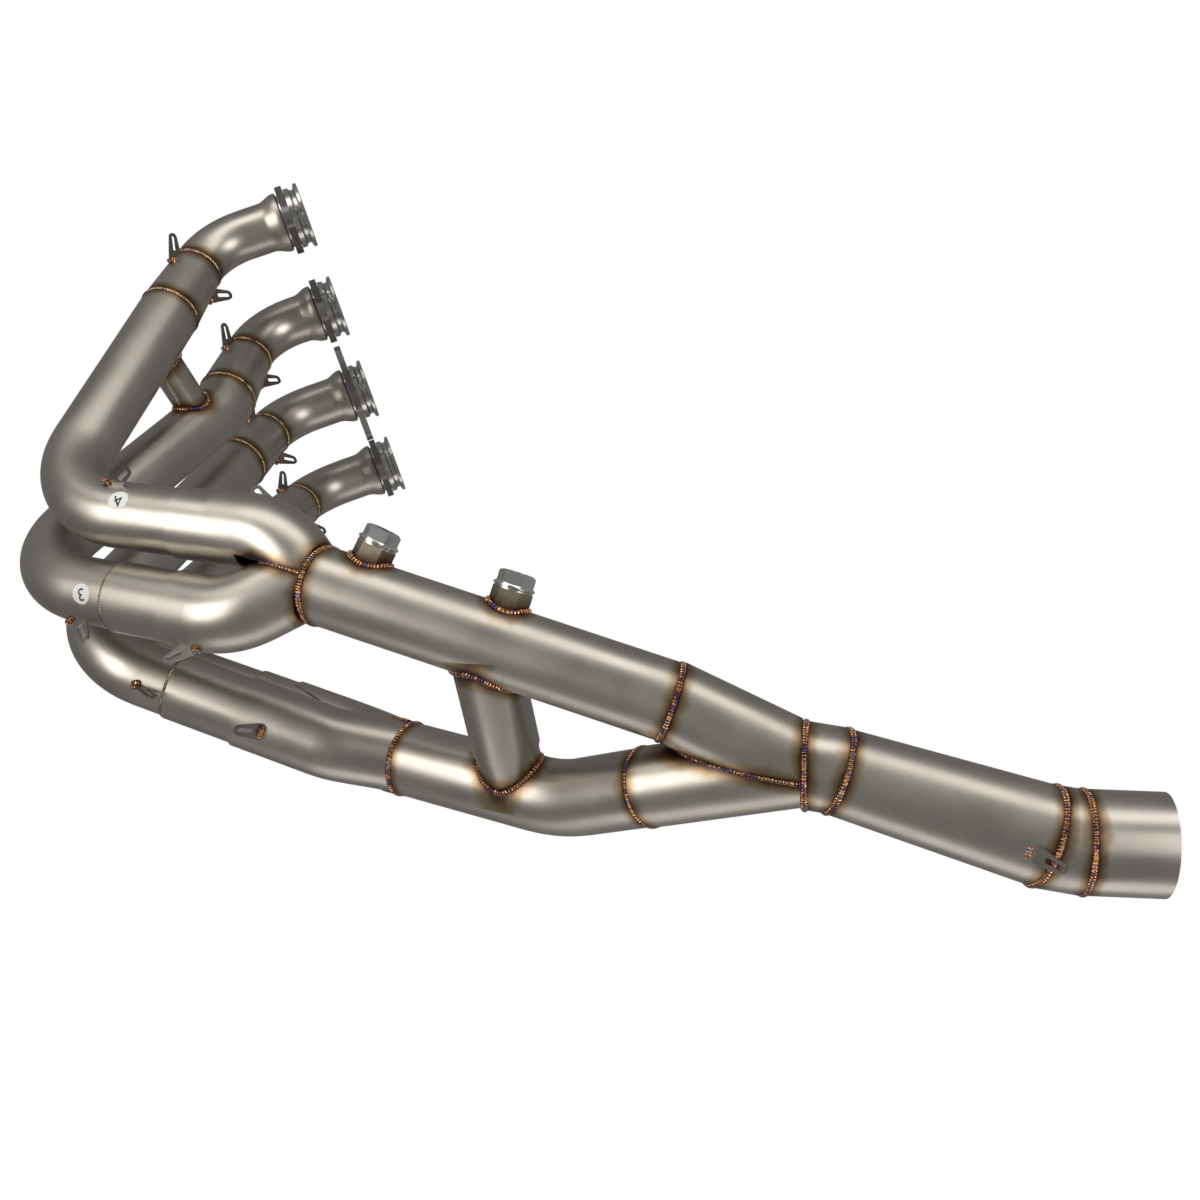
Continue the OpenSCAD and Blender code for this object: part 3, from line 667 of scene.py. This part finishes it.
def saddle_group() -> bpy.types.NodeTree:
    """Group that gives the distance to the line where two tubes meet.

    Returns:
        The group.
    """
    group, shader, given = new_group("Distance to saddle", {
        "Branch": "NodeSocketVector", "Branch way": "NodeSocketVector", "Branch radius": "NodeSocketFloat",
        "Main": "NodeSocketVector", "Main way": "NodeSocketVector", "Main radius": "NodeSocketFloat"})
    place = shader.add("ShaderNodeTexCoord").outputs["Object"]
    height, from_branch = line_distance(shader, place, given["Branch"], given["Branch way"])
    _, from_main = line_distance(shader, place, given["Main"], given["Main way"])
    first = shader.math("SUBTRACT", from_branch, given["Branch radius"])
    second = shader.math("SUBTRACT", from_main, given["Main radius"])
    total = shader.math("ADD", shader.math("MULTIPLY", first, first), shader.math("MULTIPLY", second, second))
    behind = shader.math("LESS_THAN", height, FAR_SIDE)
    shader.link(shader.math("ADD", shader.math("SQRT", total), behind),
                shader.add("NodeGroupOutput").inputs["Distance"])
    return group


def plane_group() -> bpy.types.NodeTree:
    """Group that gives the distance to the plane of a seam.

    Returns:
        The group.
    """
    group, shader, given = new_group("Distance to seam", {
        "Point": "NodeSocketVector", "Way": "NodeSocketVector", "Reach": "NodeSocketFloat"})
    place = shader.add("ShaderNodeTexCoord").outputs["Object"]
    offset = shader.vector("SUBTRACT", place, given["Point"]).outputs[0]
    along = shader.vector("DOT_PRODUCT", offset, given["Way"]).outputs[1]
    away = shader.vector("LENGTH", offset).outputs[1]
    beyond = shader.math("MAXIMUM", shader.math("SUBTRACT", away, given["Reach"]), 0.0)
    total = shader.math("ADD", shader.math("ABSOLUTE", along), beyond)
    shader.link(total, shader.add("NodeGroupOutput").inputs["Distance"])
    return group


def fill_ramp(ramp: bpy.types.Node, stops: Stops) -> None:
    """Sets a colour ramp's stops.

    Args:
        ramp: The ramp's node.
        stops: Place and colour of each stop.
    """
    elements = ramp.color_ramp.elements
    first, last = elements
    first.position, first.color = stops[0][0], (*stops[0][1], 1.0)
    last.position, last.color = stops[-1][0], (*stops[-1][1], 1.0)
    for position, color in stops[1:-1]:
        elements.new(position).color = (*color, 1.0)


class Finisher:
    """Makes the materials and gives each CAD node but the weld beads its finish."""

    HEAT_REACH = 10 * MM
    NODE_REACH = 16 * MM
    CLOUD_SCALE = 28.0
    CLOUD_DETAIL = 4.0
    CLOUD_SPAN = (0.3, 0.7)
    GRAIN_SCALE = 1400.0
    GRAIN_DETAIL = 2.0
    GRAIN_DEPTH = 0.05 * MM
    STIR_SCALE = 90.0
    STIR_BASE = 0.5
    SWAY_SCALE = 120.0
    SWAY = 7.0
    PATCH_DETAIL = 3.0
    BEAD_GRAIN = 0.1
    BEAD_MOTTLE = 0.2
    WAVE_SHARE = 0.06
    HEAT_STOPS: Stops = (
        (0.16, (0.075, 0.050, 0.050)),
        (0.26, (0.160, 0.098, 0.060)),
        (0.40, (0.270, 0.190, 0.110)),
        (0.60, (0.350, 0.290, 0.215)),
    )
    EDGE_STOP = 0.82
    EDGE_TINT = (0.96, 0.92, 0.86)

    def __init__(self, welds: Welds) -> None:
        """Prepares the shared groups.

        Args:
            welds: Weld lines whose heat colours the tubes.
        """
        self.welds = welds
        self.ring = ring_group()
        self.saddle = saddle_group()
        self.plane = plane_group()

    def _surface(self, name: str, finish: Finish) -> tuple[bpy.types.Material, Shader, bpy.types.Node]:
        """Starts a material with the finish's constants, mottle and grain.

        Args:
            name: Name of the material.
            finish: The finish.

        Returns:
            The material, a helper on its tree and its Principled node.
        """
        material = bpy.data.materials.new(name)
        material.use_nodes = True
        material.diffuse_color = (*finish.color, 1.0)
        shader = Shader(material.node_tree)
        body = material.node_tree.nodes["Principled BSDF"]
        body.inputs["Metallic"].default_value = finish.metallic
        place = shader.add("ShaderNodeTexCoord").outputs["Object"]
        cloud = shader.noise(place, self.CLOUD_SCALE, self.CLOUD_DETAIL)
        spread = shader.add("ShaderNodeMapRange")
        spread.inputs["From Min"].default_value, spread.inputs["From Max"].default_value = self.CLOUD_SPAN
        spread.inputs["To Min"].default_value = finish.roughness * (1 - finish.mottle)
        spread.inputs["To Max"].default_value = finish.roughness * (1 + finish.mottle)
        shader.link(cloud, spread.inputs["Value"])
        shader.link(spread.outputs[0], body.inputs["Roughness"])
        bump = shader.add("ShaderNodeBump")
        bump.inputs["Strength"].default_value = finish.grain
        bump.inputs["Distance"].default_value = self.GRAIN_DEPTH
        shader.link(shader.noise(place, self.GRAIN_SCALE, self.GRAIN_DETAIL), bump.inputs["Height"])
        shader.link(bump.outputs[0], body.inputs["Normal"])
        return material, shader, body

    def _near(self, node: bpy.types.Object) -> list[object]:
        """Finds the coloured weld lines close to a node.

        Args:
            node: The node.

        Returns:
            The rings, saddles and seams.
        """
        low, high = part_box(node.name)
        margin = Vector((self.NODE_REACH,) * 3)

        def inside(point: Vector, radius: float) -> bool:
            """Tells whether a round line may reach the node.

            Args:
                point: Its middle.
                radius: Its radius.

            Returns:
                Whether its middle lies in the node's grown box.
            """
            grown = margin + Vector((radius,) * 3)
            return all(low[k] - grown[k] < point[k] < high[k] + grown[k] for k in range(3))

        tree = tree_of(node)
        found: list[object] = []
        for ring in self.welds.rings:
            if ring.tone is not Tone.FAINT and inside(ring.centre, ring.wide):
                edge = ring.centre + ring.wide_way * ring.wide
                if (tree.find_nearest(edge)[3] or 0) < self.NODE_REACH:
                    found.append(ring)
        for saddle in self.welds.saddles:
            if inside(saddle.branch_point, saddle.branch_radius):
                found.append(saddle)
        if node.name.startswith(("fork_leg", "collector_leg")):
            for seam in self.welds.seams:
                if inside(seam.plane_point, 0.0):
                    found.append(seam)
        return found

    def _distance(self, shader: Shader, weld: object) -> bpy.types.NodeSocket:
        """Adds the distance to one weld line.

        Args:
            shader: The tree to add to.
            weld: A ring, a saddle or a seam.

        Returns:
            The distance's socket.
        """
        made = shader.add("ShaderNodeGroup")
        if isinstance(weld, Ring):
            made.node_tree = self.ring
            made.inputs["Centre"].default_value = weld.centre
            made.inputs["Way"].default_value = weld.axis
            made.inputs["Radius"].default_value = (weld.wide + weld.narrow) / 2
        elif isinstance(weld, Saddle):
            made.node_tree = self.saddle
            made.inputs["Branch"].default_value = weld.branch_point
            made.inputs["Branch way"].default_value = weld.branch_way
            made.inputs["Branch radius"].default_value = weld.branch_radius
            made.inputs["Main"].default_value = weld.main_point
            made.inputs["Main way"].default_value = weld.main_way
            made.inputs["Main radius"].default_value = weld.main_radius
        else:
            made.node_tree = self.plane
            made.inputs["Point"].default_value = weld.plane_point
            made.inputs["Way"].default_value = weld.plane_way
            made.inputs["Reach"].default_value = weld.reach
        return made.outputs["Distance"]

    def heated(self, name: str, finish: Finish, welds: list[object]) -> bpy.types.Material:
        """Metal that the heat of its welds has coloured.

        Args:
            name: Name of the material.
            finish: The bare finish.
            welds: Weld lines near the piece.

        Returns:
            The material.
        """
        material, shader, body = self._surface(name, finish)
        nearest: bpy.types.NodeSocket | float = 1.0
        for weld in welds:
            nearest = shader.math("MINIMUM", self._distance(shader, weld), nearest)
        place = shader.add("ShaderNodeTexCoord").outputs["Object"]
        stir = shader.math("ADD", shader.noise(place, self.STIR_SCALE), self.STIR_BASE)
        scaled = shader.math("DIVIDE", shader.math("MULTIPLY", nearest, stir), self.HEAT_REACH)
        ramp = shader.add("ShaderNodeValToRGB")
        edge = tuple(part * share for part, share in zip(finish.color, self.EDGE_TINT))
        fill_ramp(ramp, (*self.HEAT_STOPS, (self.EDGE_STOP, edge), (1.0, finish.color)))
        shader.link(scaled, ramp.inputs[0])
        shader.link(ramp.outputs[0], body.inputs["Base Color"])
        return material

    def plain(self, name: str, finish: Finish) -> bpy.types.Material:
        """Metal of one colour.

        Args:
            name: Name of the material.
            finish: The finish.

        Returns:
            The material.
        """
        material, _, body = self._surface(name, finish)
        body.inputs["Base Color"].default_value = (*finish.color, 1.0)
        return material

    def bead(self, tone: Tone) -> bpy.types.Material:
        """Weld metal with stacked ripples.

        Args:
            tone: How the weld looks.

        Returns:
            The material.
        """
        look = BEAD_LOOKS[tone]
        middle_color = look.stops[2][1]
        finish = Finish(middle_color, look.roughness, grain=self.BEAD_GRAIN, mottle=self.BEAD_MOTTLE)
        material, shader, body = self._surface(f"weld bead {tone.value}", finish)
        run = shader.add("ShaderNodeAttribute", attribute_name="run").outputs["Fac"]
        place = shader.add("ShaderNodeTexCoord").outputs["Object"]
        sway = shader.math("MULTIPLY", shader.noise(place, self.SWAY_SCALE), self.SWAY)
        phase = shader.math("ADD", shader.math("MULTIPLY", run, math.tau / look.pitch), sway)
        wave = shader.math("SINE", phase)
        bump = shader.add("ShaderNodeBump")
        bump.inputs["Distance"].default_value = look.relief
        shader.link(wave, bump.inputs["Height"])
        shader.link(bump.outputs[0], body.inputs["Normal"])
        patch = shader.noise(place, look.patches, self.PATCH_DETAIL)
        mixed = shader.math("ADD", patch, shader.math("MULTIPLY", wave, self.WAVE_SHARE))
        ramp = shader.add("ShaderNodeValToRGB")
        fill_ramp(ramp, look.stops)
        shader.link(mixed, ramp.inputs[0])
        shader.link(ramp.outputs[0], body.inputs["Base Color"])
        return material

    def dress(self, record: dict, nodes: dict[str, bpy.types.Object]) -> None:
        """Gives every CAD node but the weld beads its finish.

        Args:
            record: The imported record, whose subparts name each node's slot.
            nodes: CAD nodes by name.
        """
        shared: dict[Slot, bpy.types.Material] = {}
        for part in record["subparts"]:
            node = nodes[part["node"]]
            slot = Slot(part["material_slot"])
            if slot is Slot.BEAD:
                continue
            if slot in HEATED:
                material = self.heated(f"{slot.value} {node.name}", FINISHES[slot], self._near(node))
            else:
                material = shared.setdefault(slot, self.plain(slot.value, FINISHES[slot]))
            for index in range(len(node.material_slots)):
                node.material_slots[index].material = material
            LOG.info("%s: %s", node.name, material.name)
        LOG.info("finished %d nodes", len(record["subparts"]))


def clear_selection() -> None:
    """Leaves nothing selected."""
    bpy.ops.object.select_all(action="DESELECT")


def settle(piece: bpy.types.Object, name: str, material: bpy.types.Material) -> bpy.types.Object:
    """Names a new piece, puts its place into its points and gives it its finish.

    Args:
        piece: The new piece.
        name: Its name.
        material: Its finish.

    Returns:
        The piece.
    """
    clear_selection()
    piece.select_set(True)
    bpy.context.view_layer.objects.active = piece
    bpy.ops.object.transform_apply(location=True, rotation=True, scale=True)
    bpy.ops.object.shade_smooth()
    piece.name = name
    piece.data.materials.clear()
    piece.data.materials.append(material)
    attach(piece, "root")
    LOG.info("%s: %d points", name, len(piece.data.vertices))
    return piece


def store_run(piece: bpy.types.Object, values: list[float]) -> None:
    """Stores how far along its weld each point lies.

    Args:
        piece: The weld bead.
        values: One distance for each point, in metres.
    """
    layer = piece.data.attributes.new("run", "FLOAT", "POINT")
    layer.data.foreach_set("value", values)


class BeadMaker:
    """Models every weld bead."""

    SEAM_RADIUS = 1.5 * MM
    SADDLE_RADIUS = 2.1 * MM
    ROUND_SEGMENTS = 160
    BEAD_SEGMENTS = 12
    BEVEL_STEPS = 3

    def __init__(self, materials: dict[Tone, bpy.types.Material], eye: Vector) -> None:
        """Keeps what every bead shares.

        Args:
            materials: The weld metals.
            eye: The camera's place. Beads start and end on the side that faces away from it.
        """
        self.materials = materials
        self.eye = eye

    def ring(self, ring: Ring, name: str) -> bpy.types.Object:
        """Bead on a round weld line.

        Args:
            ring: The line.
            name: Name of the piece.

        Returns:
            The bead.
        """
        look = BEAD_LOOKS[ring.tone]
        clear_selection()
        bpy.ops.mesh.primitive_torus_add(
            major_segments=self.ROUND_SEGMENTS, minor_segments=self.BEAD_SEGMENTS,
            major_radius=ring.wide - look.sunk, minor_radius=look.radius)
        piece = bpy.context.object
        side = ring.axis.cross(ring.wide_way).normalized()
        squeeze = (ring.narrow - look.sunk) / (ring.wide - look.sunk)
        turn = Matrix((ring.wide_way, side, ring.axis)).transposed().to_4x4()
        piece.matrix_world = Matrix.Translation(ring.centre) @ turn @ Matrix.Diagonal((1, squeeze, 1, 1))
        made = settle(piece, name, self.materials[ring.tone])
        away = ring.centre - self.eye
        away = (away - ring.axis * away.dot(ring.axis)).normalized()
        across = ring.axis.cross(away)
        values = []
        for vertex in made.data.vertices:
            offset = vertex.co - ring.centre
            turned = math.atan2(-offset.dot(across), -offset.dot(away))
            values.append((turned + math.pi) * ring.wide)
        store_run(made, values)
        return made

    def line(self, points: list[Vector], closed: bool, thickness: float, name: str) -> bpy.types.Object:
        """Bead that follows a list of points.

        Args:
            points: The line that the bead follows.
            closed: Whether the line ends where it starts.
            thickness: Radius of the bead.
            name: Name of the piece.

        Returns:
            The bead.
        """
        clear_selection()
        bpy.ops.curve.primitive_nurbs_path_add()
        piece = bpy.context.object
        curve = piece.data
        curve.splines.clear()
        spline = curve.splines.new("POLY")
        spline.points.add(len(points) - 1)
        for control, point in zip(spline.points, points):
            control.co = (*point, 1.0)
        spline.use_cyclic_u = closed
        curve.dimensions = "3D"
        curve.bevel_depth = thickness
        curve.bevel_resolution = self.BEVEL_STEPS
        curve.use_fill_caps = True
        bpy.ops.object.convert(target="MESH")
        piece = bpy.context.object
        made = settle(piece, name, self.materials[Tone.MIXED])
        runs = [0.0]
        for a, b in zip(points, points[1:]):
            runs.append(runs[-1] + (b - a).length)
        lookup = np.array([tuple(point) for point in points])
        values = []
        for vertex in made.data.vertices:
            gaps = ((lookup - np.array(tuple(vertex.co))) ** 2).sum(axis=1)
            values.append(runs[int(gaps.argmin())])
        store_run(made, values)
        return made

    def all(self, welds: Welds) -> list[bpy.types.Object]:
        """Makes every bead.

        Args:
            welds: The weld lines.

        Returns:
            The beads.
        """
        made = [self.ring(ring, f"bead_ring_{k + 1}") for k, ring in enumerate(welds.rings)]
        for k, saddle in enumerate(welds.saddles):
            made.append(self.line(saddle.points, True, self.SADDLE_RADIUS, f"bead_saddle_{k + 1}"))
        for k, seam in enumerate(welds.seams):
            made.append(self.line(seam.points, False, self.SEAM_RADIUS, f"bead_seam_{k + 1}"))
        LOG.info("made %d beads", len(made))
        return made


TACK_FEET = ("tapered", "primary", "fork_leg", "collector_cone", "slip_sleeve")
TACK_HALF = (2.1 * MM, 5.2 * MM, 2.5 * MM)
TACK_INWARD = 2.4 * MM
TACK_ASIDE = 1.5 * MM
TACK_SEGMENTS = 20
TACK_RINGS = 12


def tack_welds(nodes: dict[str, bpy.types.Object], material: bpy.types.Material) -> list[bpy.types.Object]:
    """Blobs of weld at both sides of each spring tab's foot.

    Args:
        nodes: CAD nodes by name.
        material: The weld metal.

    Returns:
        The blobs.
    """
    made = []
    tubes = [tree_of(node) for name, node in nodes.items() if name.startswith(TACK_FEET)]
    for name, node in nodes.items():
        if "tab" not in name:
            continue
        for points in islands(node):
            middle, _, ways = principal(points)
            length = Vector(ways[:, 2])
            reach = float(np.abs((points - middle) @ ways[:, 2]).max())
            ends = [Vector(middle) + length * reach * side for side in (1, -1)]
            gaps = [min(tree.find_nearest(end)[3] for tree in tubes) for end in ends]
            foot = ends[gaps.index(min(gaps))]
            inward = (Vector(middle) - foot).normalized()
            thin = Vector(ways[:, 0])
            for side in (1, -1):
                clear_selection()
                bpy.ops.mesh.primitive_uv_sphere_add(
                    segments=TACK_SEGMENTS, ring_count=TACK_RINGS, radius=1.0)
                blob = bpy.context.object
                width = Vector(ways[:, 1])
                turn = Matrix((thin, width, thin.cross(width))).transposed().to_4x4()
                spot = foot + inward * TACK_INWARD + thin * side * TACK_ASIDE
                size = Matrix.Diagonal((*TACK_HALF, 1))
                blob.matrix_world = Matrix.Translation(spot) @ turn @ size
                piece = settle(blob, f"tack_{len(made) + 1}", material)
                store_run(piece, [v.co.dot(width) for v in piece.data.vertices])
                made.append(piece)
    LOG.info("made %d tack welds", len(made))
    return made


@dataclass(frozen=True)
class Label:
    """A small round numbered sticker, placed where a line of sight of the camera meets the pipe."""

    digit: str
    node: str
    across: float
    up: float
    turn: float


LABELS = (
    Label("4", "primary_pipe_4", -0.2891, 0.0600, 200.0),
    Label("3", "primary_pipe_3", -0.3114, 0.0036, 190.0),
)


class LabelMaker:
    """Makes the numbered stickers."""

    RADIUS = 7.0 * MM
    DIGIT_HEIGHT = 12.0 * MM
    LIFT = 0.15 * MM
    PAPER: Color = (0.74, 0.74, 0.72)
    INK: Color = (0.02, 0.02, 0.02)
    ROUGHNESS = 0.5
    EDGE_POINTS = 40
    DISC_CUTS = 3
    DIGIT_CUTS = 2

    def __init__(self, rig: "StudioBuilder", nodes: dict[str, bpy.types.Object]) -> None:
        """Makes the two finishes.

        Args:
            rig: The studio, for the camera's directions.
            nodes: CAD nodes by name.
        """
        self.rig = rig
        self.nodes = nodes
        self.paper = self._matt("label paper", self.PAPER)
        self.ink = self._matt("label ink", self.INK)

    def _matt(self, name: str, color: Color) -> bpy.types.Material:
        """Matt finish of one colour.

        Args:
            name: Name of the material.
            color: Its colour.

        Returns:
            The material.
        """
        material = bpy.data.materials.new(name)
        material.use_nodes = True
        body = material.node_tree.nodes["Principled BSDF"]
        body.inputs["Base Color"].default_value = (*color, 1.0)
        body.inputs["Roughness"].default_value = self.ROUGHNESS
        return material

    def _lay(self, piece: bpy.types.Object, name: str, material: bpy.types.Material, place: Matrix,
             tree: BVHTree, lift: float) -> bpy.types.Object:
        """Puts a flat piece on a pipe and bends it to the pipe's surface.

        Args:
            piece: The piece, flat about its origin.
            name: Its name.
            material: Its finish.
            place: Where its middle goes, with Z away from the pipe.
            tree: Faces of the pipe.
            lift: Distance that it stays off the surface.

        Returns:
            The piece.
        """
        for vertex in piece.data.vertices:
            spot, normal, _, _ = tree.find_nearest(place @ vertex.co)
            vertex.co = spot + normal * lift
        piece.name = name
        piece.data.materials.clear()
        piece.data.materials.append(material)
        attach(piece, "root")
        LOG.info("%s: %d points", name, len(piece.data.vertices))
        return piece

    @staticmethod
    def _divide(cuts: int) -> None:
        """Divides the active mesh's edges, so that it can bend.

        Args:
            cuts: Number of new points on each edge.
        """
        bpy.ops.object.mode_set(mode="EDIT")
        bpy.ops.mesh.select_all(action="SELECT")
        bpy.ops.mesh.subdivide(number_cuts=cuts)
        bpy.ops.object.mode_set(mode="OBJECT")

    def make(self, label: Label) -> None:
        """Makes one sticker and its digit.

        Args:
            label: The sticker.
        """
        tree = tree_of(self.nodes[label.node])
        eye = Vector(self.rig.studio.eye)
        sight = (-self.rig.back + self.rig.right * label.across + self.rig.up * label.up).normalized()
        spot, normal, _, _ = tree.ray_cast(eye, sight)
        side = (self.rig.right - normal * self.rig.right.dot(normal)).normalized()
        turn = Matrix((side, normal.cross(side), normal)).transposed().to_4x4()
        place = Matrix.Translation(spot) @ turn @ Matrix.Rotation(math.radians(label.turn), 4, "Z")
        clear_selection()
        bpy.ops.mesh.primitive_circle_add(vertices=self.EDGE_POINTS, radius=self.RADIUS, fill_type="TRIFAN")
        disc = bpy.context.object
        self._divide(self.DISC_CUTS)
        self._lay(disc, f"label_{label.digit}", self.paper, place, tree, self.LIFT)
        clear_selection()
        bpy.ops.object.text_add()
        text = bpy.context.object
        text.data.body = label.digit
        text.data.size = self.DIGIT_HEIGHT
        text.data.align_x = "CENTER"
        text.data.align_y = "CENTER"
        bpy.ops.object.convert(target="MESH")
        digit = bpy.context.object
        self._divide(self.DIGIT_CUTS)
        self._lay(digit, f"label_digit_{label.digit}", self.ink, place, tree, self.LIFT * 2)

    def all(self) -> None:
        """Makes every sticker."""
        for label in LABELS:
            self.make(label)
        LOG.info("made %d labels", len(LABELS))


class StudioBuilder:
    """Camera, lights, floor and backdrop."""

    def __init__(self, studio: Studio) -> None:
        """Works out the camera's directions.

        Args:
            studio: The studio's values.
        """
        self.studio = studio
        self.right = Vector(studio.right).normalized()
        down = Vector(studio.down)
        self.up = -(down - self.right * down.dot(self.right)).normalized()
        self.back = self.right.cross(self.up)

    def camera(self) -> None:
        """Adds the camera at the photograph's viewpoint."""
        bpy.ops.object.camera_add()
        camera = bpy.context.object
        camera.name = "camera"
        camera.data.lens = self.studio.lens
        camera.data.sensor_width = self.studio.sensor
        turn = Matrix((self.right, self.up, self.back)).transposed().to_4x4()
        camera.matrix_world = Matrix.Translation(Vector(self.studio.eye)) @ turn
        bpy.context.scene.camera = camera

    def lights(self) -> None:
        """Adds the softboxes."""
        middle = Vector(self.studio.middle)
        for box in SOFTBOXES:
            place = middle + self.right * box.across + self.up * box.up + self.back * box.toward
            bpy.ops.object.light_add(type="AREA", location=place)
            light = bpy.context.object
            light.name = f"softbox_{box.name}"
            light.data.shape = "RECTANGLE"
            light.data.size = box.width
            light.data.size_y = box.height
            light.data.energy = box.power
            light.data.color = box.tint
            look = (place - middle).normalized()
            side = (self.right - look * self.right.dot(look)).normalized()
            turn = Matrix((side, look.cross(side), look)).transposed().to_4x4()
            light.matrix_world = Matrix.Translation(place) @ turn
            LOG.info("%s: %.1f W", light.name, box.power)

    def world(self) -> None:
        """White behind the header for the camera, soft grey for its reflections."""
        world = bpy.data.worlds.new("studio")
        world.use_nodes = True
        bpy.context.scene.world = world
        shader = Shader(world.node_tree)
        backdrop = world.node_tree.nodes["Background"]
        backdrop.inputs["Color"].default_value = (1.0, 1.0, 1.0, 1.0)
        seen = shader.add("ShaderNodeLightPath").outputs["Is Camera Ray"]
        gain = shader.math("MULTIPLY", seen, 1.0 - self.studio.ambient)
        shader.link(shader.math("ADD", gain, self.studio.ambient), backdrop.inputs["Strength"])

    def floor(self) -> None:
        """Adds a plain pale floor far under the header."""
        middle = Vector(self.studio.middle)
        place = (middle.x, middle.y, middle.z - self.studio.floor_drop)
        bpy.ops.mesh.primitive_plane_add(size=self.studio.floor_size, location=place)
        floor = bpy.context.object
        floor.name = "floor"
        pale = bpy.data.materials.new("pale floor")
        pale.use_nodes = True
        body = pale.node_tree.nodes["Principled BSDF"]
        body.inputs["Base Color"].default_value = (*(self.studio.floor_grey,) * 3, 1.0)
        body.inputs["Roughness"].default_value = self.studio.floor_roughness
        shader = Shader(pale.node_tree)
        seen = shader.add("ShaderNodeLightPath").outputs["Is Camera Ray"]
        shader.link(shader.math("MULTIPLY", seen, self.studio.floor_glow), body.inputs["Emission Color"])
        body.inputs["Emission Strength"].default_value = 1.0
        floor.data.materials.append(pale)

    def build(self) -> None:
        """Builds the whole studio."""
        self.camera()
        self.lights()
        self.world()
        self.floor()
        bpy.context.scene.view_settings.view_transform = "Standard"
        LOG.info("studio ready")


def main() -> None:
    """Builds the scene."""
    logging.basicConfig(level=logging.INFO, format="%(name)s: %(message)s")
    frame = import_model()
    header = Header(frame["nodes"])
    finisher = Finisher(header.welds)
    finisher.dress(frame["record"], frame["nodes"])
    metals = {tone: finisher.bead(tone) for tone in Tone}
    beads = BeadMaker(metals, Vector(Studio().eye)).all(header.welds)
    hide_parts(*Header.BEADS)
    tack_welds(frame["nodes"], metals[Tone.MIXED])
    rig = StudioBuilder(Studio())
    rig.build()
    LabelMaker(rig, frame["nodes"]).all()
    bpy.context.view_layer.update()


if __name__ == "__main__":
    main()
